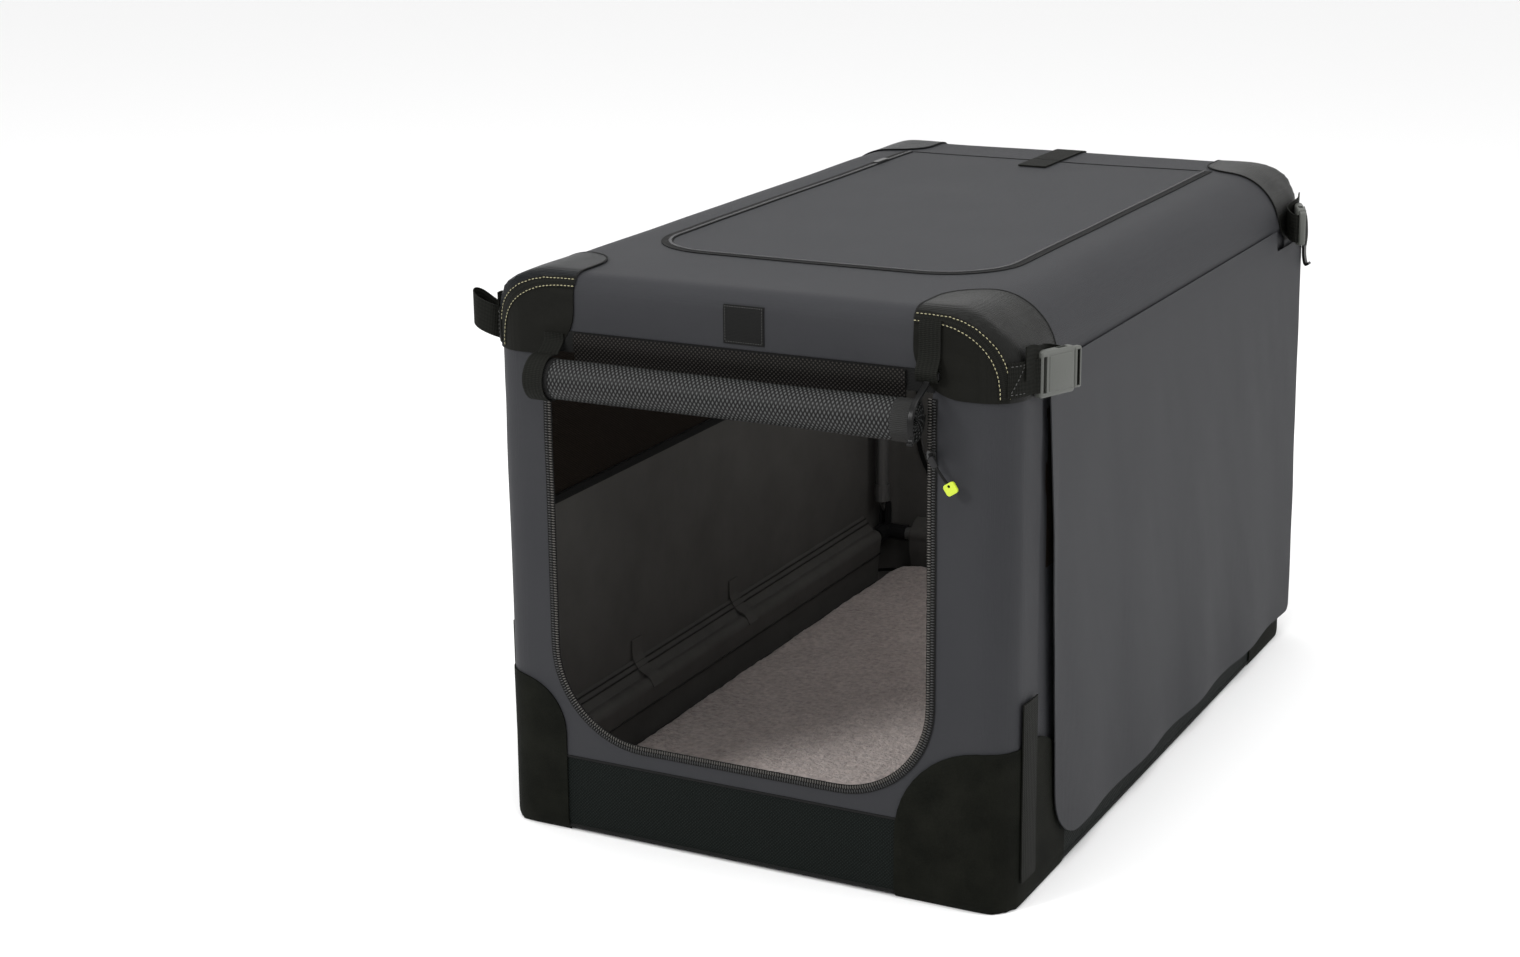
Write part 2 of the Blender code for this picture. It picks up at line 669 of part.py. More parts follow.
for side, end in CORNERS:
    corner = END_NAMES[end] + "_" + SIDE_NAMES[side]
    lower_legs[side, end] = make_leg("lower_leg_" + corner, side, end, FOOT_Z, KNEE_Z, False)
    leg = make_leg("upper_leg_" + corner, side, end, KNEE_Z, UPPER_PIN_Z, True)
    y = end_y(end, FRAME_INSET)
    face = side * (FRAME_X - FORK_OUTER)
    pocket_floor = face + side * (BUTTON_TRAVEL + GAP)
    cut(leg, cylinder("pocket", (face - side * OVERRUN, y, KNEE_Z), (pocket_floor, y, KNEE_Z),
                      BUTTON_POCKET))
    upper_legs[side, end] = leg
    buttons[side, end] = cylinder("knee_button_" + corner, (face - side * BUTTON_PROUD, y, KNEE_Z),
                                  (face + side * GAP, y, KNEE_Z), BUTTON_RADIUS)

# Rolled-up front door: one sheet in an open spiral, with its free edge sewn to the header

ROLL_RADIUS = 0.0245
ROLL_CORE = 0.0075
ROLL_CLOTH = 0.0025
ROLL_TURNS = 3
ROLL_LEFT_INSET = 0.074
ROLL_RIGHT_INSET = 0.081
ROLL_DROP = 0.115
ROLL_CLEAR = 0.003
ROLL_LEFT = ROLL_LEFT_INSET - HALF
ROLL_RIGHT = HALF - ROLL_RIGHT_INSET
ROLL_Z = HEIGHT - ROLL_DROP
ROLL_Y = FRONT_Y - ROLL_CLEAR - ROLL_RADIUS
ROLL_STEPS = 14
HEADER_REACH = 0.008
SEWN_LEFT_INSET = 0.114
SEWN_RIGHT_INSET = 0.122
SEWN_LEFT = SEWN_LEFT_INSET - HALF
SEWN_RIGHT = HALF - SEWN_RIGHT_INSET

outer_line = ROLL_RADIUS - ROLL_CLOTH / 2
pitch = (outer_line - ROLL_CORE) / ROLL_TURNS
print("door roll: gap between turns %.2f mm" % ((pitch - ROLL_CLOTH) * 1000))


def spiral(offset):
    points = []
    for i in range(ROLL_TURNS * ROLL_STEPS + 1):
        angle = 2 * pi * i / ROLL_STEPS
        radius = ROLL_CORE + pitch * i / ROLL_STEPS + offset
        points.append((ROLL_Y + radius * cos(angle), ROLL_Z + radius * sin(angle)))
    return points


def tail(offset):
    """From the roll's rear straight up, then in against the header."""
    rise = ROLL_Y + outer_line
    sewn = FRONT_Y - GAP - ROLL_CLOTH / 2
    return [(rise + offset, ROLL_Z + ROLL_RADIUS), (sewn + offset, SEAM_Z + GAP),
            (sewn + offset, SEAM_Z + HEADER_REACH)]


half_cloth = ROLL_CLOTH / 2
roll_outline = spiral(-half_cloth) + tail(-half_cloth) + (spiral(half_cloth) + tail(half_cloth))[::-1]
door_roll = prism("door_roll", roll_outline, ROLL_LEFT, ROLL_RIGHT, "X")
for low_x, high_x in ((ROLL_LEFT - OVERRUN, SEWN_LEFT), (SEWN_RIGHT, ROLL_RIGHT + OVERRUN)):
    cut(door_roll, box("sewn_end", (low_x, ROLL_Y, ROLL_Z + ROLL_RADIUS + PATCH_CLOTH),
                       (high_x, FRONT_Y + OVERRUN, HEIGHT)))

# Roll strap with its hook at the right, and the loop at the left

HOOK_STRAP_INSET = 0.0945
HOOK_STRAP_X = HALF - HOOK_STRAP_INSET
HOOK_STRAP_WIDTH = 0.025
HOOK_STRAP_DROP = 0.010
HOOK_STRAP_HIGH = HEIGHT - HOOK_STRAP_DROP
HOOK_WIDTH = 0.011
HOOK_THICK = 0.004
HOOK_SLACK = 0.0009
HOOK_BAR_DROP = 0.064
HOOK_BAR_DEEP = 0.009
HOOK_BAR_CLEAR = 0.0052
HOOK_BAR_THICK = 0.0053
HOOK_BORE = ROLL_RADIUS + HOOK_SLACK
HOOK_BAR_HIGH = HEIGHT - HOOK_BAR_DROP
HOOK_BAR_LOW = HOOK_BAR_HIGH - HOOK_BAR_DEEP
HOOK_BAR_REAR = FRONT_Y - HOOK_BAR_CLEAR
HOOK_BAR_FRONT = HOOK_BAR_REAR - HOOK_BAR_THICK

strap_rear = FRONT_Y - 2 * GAP - PATCH_CLOTH
roll_strap = box("roll_strap",
                 (HOOK_STRAP_X - HOOK_STRAP_WIDTH / 2, strap_rear - WEBBING, HOOK_BAR_HIGH + GAP),
                 (HOOK_STRAP_X + HOOK_STRAP_WIDTH / 2, strap_rear, HOOK_STRAP_HIGH))
bulge = box("strap_loop",
            (HOOK_STRAP_X - HOOK_STRAP_WIDTH / 2, HOOK_BAR_FRONT, HOOK_BAR_HIGH + GAP),
            (HOOK_STRAP_X + HOOK_STRAP_WIDTH / 2, strap_rear - WEBBING / 2, HOOK_BAR_HIGH + 2 * HOOK_THICK))
join(roll_strap, bulge)

roll_axis = (ROLL_Y, ROLL_Z)
hook_outer = arc(roll_axis, HOOK_BORE + HOOK_THICK, 100, 236)
hook_inner = arc(roll_axis, HOOK_BORE, 236, 85)
hook_outline = [(HOOK_BAR_REAR, HOOK_BAR_LOW), (HOOK_BAR_REAR, HOOK_BAR_HIGH),
                (HOOK_BAR_FRONT, HOOK_BAR_HIGH)] + hook_outer + hook_inner
roll_hook = prism("roll_hook", hook_outline, HOOK_STRAP_X - HOOK_WIDTH / 2, HOOK_STRAP_X + HOOK_WIDTH / 2,
                  "X")
bar = rectangle((HOOK_BAR_FRONT, HOOK_BAR_LOW), (HOOK_BAR_REAR, HOOK_BAR_HIGH))
join(roll_hook, prism("hook_bar", bar, HOOK_STRAP_X - HOOK_STRAP_WIDTH / 2,
                      HOOK_STRAP_X + HOOK_STRAP_WIDTH / 2, "X"))

LOOP_INSET = 0.076
LOOP_WIDTH = 0.025
LOOP_SLACK = 0.0005
LOOP_SEWN_DROP = 0.058
LOOP_SEWN_DEEP = 0.013
LOOP_LEFT = LOOP_INSET - HALF
LOOP_RIGHT = LOOP_LEFT + LOOP_WIDTH
LOOP_BORE = ROLL_RADIUS + LOOP_SLACK
LOOP_SEWN_HIGH = HEIGHT - LOOP_SEWN_DROP
LOOP_SEWN_LOW = LOOP_SEWN_HIGH - LOOP_SEWN_DEEP
loop_outer = arc(roll_axis, LOOP_BORE + WEBBING, 75, 280)
loop_inner = arc(roll_axis, LOOP_BORE, 280, 75)
loop_top = [(strap_rear, LOOP_SEWN_LOW), (strap_rear, LOOP_SEWN_HIGH),
            (strap_rear - WEBBING, LOOP_SEWN_HIGH), (strap_rear - WEBBING, LOOP_SEWN_LOW + WEBBING)]
roll_loop = prism("roll_loop", loop_top + loop_outer + loop_inner, LOOP_LEFT, LOOP_RIGHT, "X")

# Zips round the doorways, and the front zip's slider and pull

# How far a zip's band lies over the doorway: the rear door swings out through its own
ZIP_WIDTH = 0.010
FRONT_ZIP_OVER = 0.005
ZIP_OVER = {FRONT: FRONT_ZIP_OVER, REAR: 0.0}
ZIP_THICK = 0.002
ZIP_HIGH = PATCH_LOW - 2 * GAP
SLIDER_DROP = 0.155
SLIDER_Z = HEIGHT - SLIDER_DROP
SLIDER_HALF = 0.0045
SLIDER_SHOULDER = 0.0054
SLIDER_LENGTH = 0.011
SLIDER_THICK = 0.0042
PULL_LENGTH = 0.034
PULL_WIDTH = 0.008
PULL_THICK = 0.002
PULL_HOLE = 0.0022


def u_run(grow):
    """An open run down the left of a doorway, under it and up its right."""
    radius = DOOR_RADIUS + grow
    low = DOOR_LOW + DOOR_RADIUS
    left = arc((DOOR_LEFT + DOOR_RADIUS, low), radius, 180, 270)
    right = arc((DOOR_RIGHT - DOOR_RADIUS, low), radius, 270, 360)
    return [(DOOR_LEFT - grow, ZIP_HIGH)] + left + right + [(DOOR_RIGHT + grow, ZIP_HIGH)]


zips = {}
for end, name in ((FRONT, "door_zip"), (REAR, "rear_zip")):
    face = end_y(end, -GAP)
    reach = sorted((face, face + end * ZIP_THICK))
    band = u_run(ZIP_WIDTH - ZIP_OVER[end]) + u_run(-ZIP_OVER[end])[::-1]
    zips[end] = prism(name, band, reach[0], reach[1], "Y")

slider_rear = FRONT_Y - 2 * GAP - ZIP_THICK
slider_outline = rounded([
    (DOOR_RIGHT - SLIDER_HALF, SLIDER_Z - SLIDER_LENGTH / 2, PULL_HOLE / 2),
    (DOOR_RIGHT + SLIDER_HALF, SLIDER_Z - SLIDER_LENGTH / 2, PULL_HOLE / 2),
    (DOOR_RIGHT + SLIDER_SHOULDER, SLIDER_Z + SLIDER_LENGTH / 2, PULL_HOLE),
    (DOOR_RIGHT, SLIDER_Z + SLIDER_LENGTH / 3, PULL_HOLE),
    (DOOR_RIGHT - SLIDER_SHOULDER, SLIDER_Z + SLIDER_LENGTH / 2, PULL_HOLE),
])
zip_slider = prism("zip_slider", slider_outline, slider_rear - SLIDER_THICK / 2, slider_rear, "Y")
bridge = rectangle((slider_rear - SLIDER_THICK, SLIDER_Z - SLIDER_LENGTH / 3),
                   (slider_rear, SLIDER_Z + SLIDER_LENGTH / 4), PULL_HOLE / 2)
join(zip_slider, prism("bridge", bridge, DOOR_RIGHT - PULL_HOLE / 2, DOOR_RIGHT + PULL_HOLE / 2, "X"))

pull_rear = slider_rear - SLIDER_THICK - GAP
PULL_TOP = SLIDER_Z + SLIDER_LENGTH / 2
pull_outline = rectangle((DOOR_RIGHT - PULL_WIDTH / 2, PULL_TOP - PULL_LENGTH),
                         (DOOR_RIGHT + PULL_WIDTH / 2, PULL_TOP), PULL_WIDTH / 3)
zip_pull = prism("zip_pull", pull_outline, pull_rear - PULL_THICK, pull_rear, "Y")
cut(zip_pull, cylinder("ring_hole", (DOOR_RIGHT, pull_rear - OVERRUN, PULL_TOP - PULL_WIDTH / 2),
                       (DOOR_RIGHT, pull_rear + OVERRUN, PULL_TOP - PULL_WIDTH / 2), PULL_HOLE, SMALL_SIDES))

# Hatch zip's slider, parked on the left at the rear

HATCH_SLIDER_BACK = 0.085
HATCH_SLIDER_Y = HATCH_HINGE - HATCH_SLIDER_BACK
hatch_slider_x = HATCH_LEFT - SLIDER_HALF - 2 * GAP
hatch_slider = prism("hatch_slider",
                     rectangle((hatch_slider_x - SLIDER_HALF, HATCH_SLIDER_Y - SLIDER_LENGTH / 2),
                               (hatch_slider_x + SLIDER_HALF, HATCH_SLIDER_Y + SLIDER_LENGTH / 2),
                               PULL_HOLE), HEIGHT + GAP, HEIGHT + GAP + SLIDER_THICK / 2, "Z")
tab = rectangle((hatch_slider_x - PULL_WIDTH / 2, HATCH_SLIDER_Y - PULL_LENGTH),
                (hatch_slider_x + PULL_WIDTH / 2, HATCH_SLIDER_Y + SLIDER_LENGTH / 4), PULL_WIDTH / 3)
join(hatch_slider, prism("hatch_pull", tab, HEIGHT + GAP + PULL_THICK / 2,
                         HEIGHT + GAP + PULL_THICK * 3 / 2, "Z"))

# Rear door, zipped shut in its doorway

rear_door = prism("rear_door", doorway(REAR, HATCH_GAP), REAR_Y - HATCH_CLOTH, REAR_Y, "Y")

# Curtains over the side walls, hanging from their top seams in soft folds

CURTAIN_DROP = 0.077
CURTAIN_LOW = 0.034
CURTAIN_TOP_INSET = 0.090
CURTAIN_LOW_INSET = 0.132
CURTAIN_REAR_INSET = 0.010
CURTAIN_RADIUS = 0.070
NOTCH_DROP = 0.134
CURTAIN_TOP = HEIGHT - CURTAIN_DROP
CURTAIN_FRONT_TOP = FRONT_Y + CURTAIN_TOP_INSET
CURTAIN_FRONT_LOW = FRONT_Y + CURTAIN_LOW_INSET
CURTAIN_REAR = REAR_Y - CURTAIN_REAR_INSET
NOTCH_LOW = HEIGHT - NOTCH_DROP
NOTCH_BACK = 0.148
NOTCH_RADIUS = 0.012
CURTAIN_INNER = HALF + 2 * GAP + PATCH_CLOTH
FOLD_DEPTH = 0.006
FOLD_COUNT = 4.5
CURTAIN_COLUMNS = 18
CURTAIN_ROWS = 4

curtain_outline = rounded([
    (FRONT_Y + NOTCH_BACK, CURTAIN_TOP, 0),
    (FRONT_Y + NOTCH_BACK, NOTCH_LOW, NOTCH_RADIUS),
    (CURTAIN_FRONT_TOP, NOTCH_LOW, NOTCH_RADIUS),
    (CURTAIN_FRONT_LOW, CURTAIN_LOW, CURTAIN_RADIUS),
    (CURTAIN_REAR, CURTAIN_LOW, NOTCH_RADIUS),
    (CURTAIN_REAR, NOTCH_LOW, NOTCH_RADIUS),
    (REAR_Y - NOTCH_BACK, NOTCH_LOW, NOTCH_RADIUS),
    (REAR_Y - NOTCH_BACK, CURTAIN_TOP, 0),
])


def slice_mesh(body, axis, low, high, count):
    """Cut a mesh across at even steps, so that it can take a curve."""
    work = bmesh.new()
    work.from_mesh(body.data)
    normal = Vector((axis == "X", axis == "Y", axis == "Z"))
    for i in range(1, count):
        place = normal * (low + (high - low) * i / count)
        bmesh.ops.bisect_plane(work, geom=work.verts[:] + work.edges[:] + work.faces[:], plane_co=place,
                               plane_no=normal)
    work.to_mesh(body.data)
    work.free()


curtains = {}
for side in (RIGHT, LEFT):
    xs = sorted((side * CURTAIN_INNER, side * (CURTAIN_INNER + LIGHT_CLOTH)))
    curtain = prism("curtain_" + SIDE_NAMES[side], curtain_outline, xs[0], xs[1], "X")
    slice_mesh(curtain, "Y", CURTAIN_FRONT_TOP, CURTAIN_REAR, CURTAIN_COLUMNS)
    slice_mesh(curtain, "Z", CURTAIN_LOW, CURTAIN_TOP, CURTAIN_ROWS)
    for vertex in curtain.data.vertices:
        along = (vertex.co.y - CURTAIN_FRONT_TOP) / (CURTAIN_REAR - CURTAIN_FRONT_TOP)
        down = (CURTAIN_TOP - vertex.co.z) / (CURTAIN_TOP - CURTAIN_LOW)
        wave = (1 - cos(2 * pi * FOLD_COUNT * along)) / 2
        vertex.co.x += side * FOLD_DEPTH * down * wave
    curtains[side] = curtain

# Fleece mat: a crowned pad that fills the floor

MAT_SIDE = 0.044
MAT_END = 0.018
MAT_EDGE = 0.020
MAT_CROWN = 0.010
MAT_COLUMNS = 6
MAT_ROWS = 9
mat_low = FLOOR_CLOTH + GAP
mat_half = HALF - MAT_SIDE

work = bmesh.new()
bmesh.ops.create_grid(work, x_segments=MAT_COLUMNS, y_segments=MAT_ROWS, size=1.0)
for vertex in work.verts:
    u, v = vertex.co.x, vertex.co.y
    vertex.co = (u * mat_half, (FRONT_Y + REAR_Y) / 2 + v * (LENGTH / 2 - MAT_END), mat_low)
    vertex.co.z += MAT_EDGE + MAT_CROWN * (1 - u * u) * (1 - v ** 4)
top_faces = work.faces[:]
skirt = bmesh.ops.extrude_face_region(work, geom=top_faces)
for element in skirt["geom"]:
    if isinstance(element, bmesh.types.BMVert):
        element.co.z = mat_low
bmesh.ops.recalc_face_normals(work, faces=work.faces)
# The lower rim stays on the floor when the edges are softened
crease = work.edges.layers.float.new("crease_edge")
for edge in work.edges:
    on_floor = all(vertex.co.z == edge.verts[0].co.z < mat_low + GAP for vertex in edge.verts)
    edge[crease] = float(on_floor and edge.calc_face_angle() > 2 * FLAT_ANGLE)
mat_mesh = bpy.data.meshes.new("fleece_mat")
work.to_mesh(mat_mesh)
work.free()
fleece_mat = add("fleece_mat", mat_mesh)
softening = fleece_mat.modifiers.new("soft_edges", "SUBSURF")
softening.levels = 1
softening.render_levels = 1

# Finishes, and the body that each piece belongs to

hinge_y = {end: end_y(end, FRAME_INSET) for end in (FRONT, REAR)}
HOOK_PIVOT_Z = HOOK_BAR_HIGH


def body_axis(name, place, parent=None):
    """An empty on a joint's axis, which carries the pieces of one moving body."""
    pivot = bpy.data.objects.new("axis_" + name, None)
    crate.objects.link(pivot)
    pivot.parent = parent
    pivot.location = Vector(place) - (parent_place(parent) if parent else Vector((0, 0, 0)))
    return pivot


def parent_place(pivot):
    return pivot.location + (parent_place(pivot.parent) if pivot.parent else Vector((0, 0, 0)))


def carry(pivot, finish, pieces):
    """Give pieces their finish and hang them on a body's axis without moving them."""
    for piece in pieces:
        face_out(piece.data)
        piece.data.materials.clear()
        piece.data.materials.append(materials[finish])
        piece.data.transform(Matrix.Translation(-parent_place(pivot)))
        piece.parent = pivot


base_axis = body_axis("base", (0, 0, 0))
carry(base_axis, "black_mesh", [floor_tray])
carry(base_axis, "fleece", [fleece_mat])
carry(base_axis, "grey_cloth", [*end_panels.values(), *walls.values()])
carry(base_axis, "black_cloth", foot_patches.values())
carry(base_axis, "zip_plastic", zips.values())
carry(base_axis, "steel_tube", [*base_rails.values(), *base_crosses.values()])
carry(base_axis, "joint_plastic", foot_joints.values())

leg_axes = {}
for end in (FRONT, REAR):
    name = END_NAMES[end]
    lower = body_axis(name + "_foot", (0, hinge_y[end], FOOT_Z), base_axis)
    upper = body_axis(name + "_knee", (0, hinge_y[end], KNEE_Z), lower)
    carry(lower, "steel_tube", [lower_legs[side, end] for side in (RIGHT, LEFT)])
    carry(upper, "steel_tube", [upper_legs[side, end] for side in (RIGHT, LEFT)])
    for side in (RIGHT, LEFT):
        press = body_axis(f"{name}_{SIDE_NAMES[side]}_button", (side * FRAME_X, hinge_y[end], KNEE_Z), upper)
        carry(press, "buckle_plastic", [buttons[side, end]])
    leg_axes[end] = upper

top_axis = body_axis("top_frame", (0, hinge_y[FRONT], UPPER_PIN_Z), leg_axes[FRONT])
carry(top_axis, "steel_tube", [*top_rails.values(), *hoops.values()])
carry(top_axis, "joint_plastic", top_joints.values())
carry(top_axis, "grey_cloth", [top_cover])
carry(top_axis, "black_cloth", top_patches.values())
carry(top_axis, "black_mesh", [door_roll])
carry(top_axis, "webbing", [roll_strap, roll_loop])

carry(body_axis("top_hatch", (0, HATCH_HINGE, HEIGHT), top_axis), "grey_cloth", [top_hatch])
carry(body_axis("hatch_slider", (hatch_slider_x, HATCH_SLIDER_Y, HEIGHT), top_axis), "zip_plastic",
      [hatch_slider])
carry(body_axis("rear_door", (0, REAR_Y, DOOR_HIGH[REAR]), top_axis), "black_mesh", [rear_door])
carry(body_axis("roll_hook", (HOOK_STRAP_X, HOOK_BAR_FRONT, HOOK_PIVOT_Z), top_axis), "joint_plastic",
      [roll_hook])
for side in (RIGHT, LEFT):
    seam = body_axis("curtain_" + SIDE_NAMES[side], (side * CURTAIN_INNER, 0, CURTAIN_TOP), top_axis)
    carry(seam, "grey_cloth", [curtains[side]])
for side, end in CORNERS:
    corner = END_NAMES[end] + "_" + SIDE_NAMES[side]
    mouth = strap_frame(side, end) @ Vector((SOCKET_LENGTH, 0, 0))
    carry(body_axis("tongue_" + corner, mouth, top_axis), "buckle_plastic", [tongues[side, end]])
slide_axis = body_axis("zip_slider", (DOOR_RIGHT, slider_rear, SLIDER_Z), top_axis)
carry(slide_axis, "zip_plastic", [zip_slider])
carry(body_axis("zip_pull", (DOOR_RIGHT, pull_rear, PULL_TOP), slide_axis), "zip_plastic", [zip_pull])
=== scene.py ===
"""Soft folding dog crate: sewn cover, roll-up mesh door, curtains, straps and fleece mat, dressed over
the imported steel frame. Metres, +Z up, doorway towards -Y."""
import json
from math import acos, atan2, cos, degrees, pi, radians, sin

import bpy
from mathutils import Matrix, Vector, noise
from mathutils.bvhtree import BVHTree


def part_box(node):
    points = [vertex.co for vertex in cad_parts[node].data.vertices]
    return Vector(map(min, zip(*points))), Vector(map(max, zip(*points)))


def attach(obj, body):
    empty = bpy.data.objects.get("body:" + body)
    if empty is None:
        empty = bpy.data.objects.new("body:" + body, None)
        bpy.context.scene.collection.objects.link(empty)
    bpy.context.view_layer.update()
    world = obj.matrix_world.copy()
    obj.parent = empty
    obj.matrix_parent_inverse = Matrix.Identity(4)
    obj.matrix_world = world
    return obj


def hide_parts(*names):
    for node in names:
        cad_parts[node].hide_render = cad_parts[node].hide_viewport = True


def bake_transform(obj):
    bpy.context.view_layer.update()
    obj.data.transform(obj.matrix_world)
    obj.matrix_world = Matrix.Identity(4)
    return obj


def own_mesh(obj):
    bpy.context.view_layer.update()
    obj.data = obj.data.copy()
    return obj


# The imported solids, and the space that they take
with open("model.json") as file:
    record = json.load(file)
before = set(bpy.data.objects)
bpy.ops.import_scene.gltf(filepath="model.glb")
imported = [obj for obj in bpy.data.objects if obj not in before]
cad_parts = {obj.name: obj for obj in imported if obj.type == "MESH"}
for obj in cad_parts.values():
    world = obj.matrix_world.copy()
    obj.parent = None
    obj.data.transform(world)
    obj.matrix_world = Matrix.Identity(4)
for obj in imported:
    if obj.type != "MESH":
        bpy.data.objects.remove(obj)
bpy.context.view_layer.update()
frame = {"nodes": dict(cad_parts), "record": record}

# Photo studio: a long lens over the right front corner, a white sweep, one broad lamp above and one
# beside the crate, so that the top is the brightest face and the doorway end the darkest
FRONT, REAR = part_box("front_panel")[0].y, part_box("rear_panel")[1].y
CAMERA_PLACE = Vector((1.267, FRONT - 2.395, 1.246))
CAMERA_AIM = Vector((-0.44235, 0.8525, -0.27852))
CAMERA_UP = Vector((-0.11818, 0.25244, 0.96037))
LENS, SENSOR = 61.17, 36
CABIN_LAMP = 0.08
WHITE = (1, 1, 1, 1)
bpy.ops.object.camera_add(location=CAMERA_PLACE)
camera = bpy.context.object
back = -CAMERA_AIM.normalized()
right = CAMERA_UP.cross(back).normalized()
camera.rotation_euler = Matrix((right, back.cross(right), back)).transposed().to_euler()
camera.data.lens = LENS
camera.data.sensor_width = SENSOR
bpy.context.scene.camera = camera
bpy.context.scene.view_settings.view_transform = "Standard"

for name, place, aim, size, watts in (
    ("lamp_above", (0.5, -0.6, 3.2), (0.0, 0.1, 0.3), 2.6, 54),
    ("lamp_beside", (3.4, 0.4, 1.7), (0.0, 0.0, 0.3), 2.4, 39),
    ("lamp_front", (-2.73, -4.62, 3.50), (0.05, -0.2, 0.1), 1.6, 196),
):
    bpy.ops.object.light_add(type="AREA", location=place)
    lamp = bpy.context.object
    lamp.name = name
    lamp.data.shape = "DISK"
    lamp.data.size = size
    lamp.data.energy = watts
    lamp.rotation_euler = (Vector(aim) - Vector(place)).to_track_quat("-Z", "Y").to_euler()
# The cabin gets two faint lamps of its own under the roof, out of the camera's sight
for name, place, watts in (("lamp_cabin_front", (0.05, 0.14, 0.47), 0.95),
                           ("lamp_cabin_rear", (0.02, 0.40, 0.44), 1.15)):
    bpy.ops.object.light_add(type="POINT", location=place)
    lamp = bpy.context.object
    lamp.name = name
    lamp.visible_camera = False
    lamp.data.energy = watts
    lamp.data.shadow_soft_size = CABIN_LAMP
world = bpy.data.worlds.new("studio")
world.use_nodes = True
backdrop = world.node_tree.nodes["Background"].inputs
backdrop["Color"].default_value = WHITE
backdrop["Strength"].default_value = 1.0
bpy.context.scene.world = world

# The tailor's form: the erected cover as one soft solid, which every cloth panel is cut from. The
# cloth is slack by a millimetre or so between its seams, more where the corner straps pull at it
cover_low, cover_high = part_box("top_cover")
HALF, HEIGHT = cover_high.x, cover_high.z
SEAM = cover_low.z
PLAN_RADIUS = 0.040
SIDE_RADIUS = 0.070
END_RADIUS = 0.020
FORM_STEP = 0.006
ROOM = 0.05
SWELLS = 7.0
SLACK, PLEAT_DEEP = 0.0012, 0.0005
PLEATS = 16
PLEAT_AWAY, PLEAT_LONG = 0.17, 0.14
FOOT_TAUT = 0.10


def let_go():
    if bpy.context.object and bpy.context.object.mode != "OBJECT":
        bpy.ops.object.mode_set(mode="OBJECT")
    bpy.ops.object.select_all(action="DESELECT")


def take(piece):
    let_go()
    piece.select_set(True)
    bpy.context.view_layer.objects.active = piece
    return piece


def name_it(piece, name):
    piece.name = name
    piece.data.name = name
    return piece


def settle(piece):
    take(piece)
    bpy.ops.object.transform_apply(location=True, rotation=True, scale=True)
    return piece


def block(name, low, high):
    """A box between two corners."""
    let_go()
    low, high = Vector(low), Vector(high)
    bpy.ops.mesh.primitive_cube_add(size=1, location=(low + high) / 2)
    piece = name_it(bpy.context.object, name)
    piece.scale = high - low
    return settle(piece)


def choose_edges(piece, test):
    take(piece)
    bpy.context.tool_settings.mesh_select_mode = (False, True, False)
    bpy.ops.object.mode_set(mode="EDIT")
    bpy.ops.mesh.select_all(action="DESELECT")
    bpy.ops.object.mode_set(mode="OBJECT")
    points = piece.data.vertices
    for edge in piece.data.edges:
        edge.select = test(points[edge.vertices[0]].co, points[edge.vertices[1]].co)
    bpy.ops.object.mode_set(mode="EDIT")


def round_edges(piece, radius, segments, test):
    """Bevel the edges whose two ends pass a test."""
    choose_edges(piece, test)
    bpy.ops.mesh.bevel(offset=radius, segments=segments, affect="EDGES")
    bpy.ops.object.mode_set(mode="OBJECT")
    return piece


def runs_along(axis, a, b):
    run = b - a
    return abs(run[axis]) > 0.999 * run.length


def modify(piece, kind, **settings):
    """Add a modifier and apply it."""
    take(piece)
    modifier = piece.modifiers.new(kind.lower(), kind)
    for key, value in settings.items():
        setattr(modifier, key, value)
    bpy.ops.object.modifier_apply(modifier=modifier.name)
    return piece


def shape_by(piece, tool, operation):
    """Boolean with a tool that is used up."""
    modify(piece, "BOOLEAN", operation=operation, object=tool, solver="EXACT")
    bpy.data.objects.remove(tool, do_unlink=True)
    return piece


form = block("form", (-HALF, FRONT, 0), (HALF, REAR, HEIGHT))
round_edges(form, PLAN_RADIUS, 7, lambda a, b: runs_along(2, a, b))
roof = block("roof", (-HALF, FRONT - ROOM, -ROOM), (HALF, REAR + ROOM, HEIGHT))
round_edges(roof, SIDE_RADIUS, 9, lambda a, b: runs_along(1, a, b) and a.z > HEIGHT / 2)
shape_by(form, roof, "INTERSECT")
ends = block("ends", (-HALF - ROOM, FRONT, -ROOM), (HALF + ROOM, REAR, HEIGHT))
round_edges(ends, END_RADIUS, 5, lambda a, b: runs_along(0, a, b) and a.z > HEIGHT / 2)
shape_by(form, ends, "INTERSECT")
modify(form, "REMESH", mode="VOXEL", voxel_size=FORM_STEP)
modify(form, "SMOOTH", factor=0.5, iterations=4)


def slack(point):
    """How far the cloth gives inwards at a point, in metres."""
    swell = noise.noise(point * SWELLS) * 0.5 + 0.5
    pull = 0.0
    for x in (-HALF, HALF):
        for y in (FRONT, REAR):
            away = (point - Vector((x, y, SEAM))).length
            round_it = atan2(point.z - SEAM, abs(point.y - y) + abs(point.x - x) + 0.01)
            pull += sin(PLEATS * round_it + 3 * swell) * max(0.0, 1 - abs(away - PLEAT_AWAY) / PLEAT_LONG)
    foot = min(1.0, point.z / FOOT_TAUT)
    return foot * (SLACK * swell + PLEAT_DEEP * max(-1.0, min(1.0, pull)))


def push_out(piece, distance):
    """Move every point along its normal by what a function of the point says."""
    points = [vertex.co.copy() for vertex in piece.data.vertices]
    normals = [Vector(normal.vector) for normal in piece.data.vertex_normals]
    moved = [point + normal * distance(point) for point, normal in zip(points, normals)]
    piece.data.vertices.foreach_set("co", [value for point in moved for value in point])
    piece.data.update()
    return piece


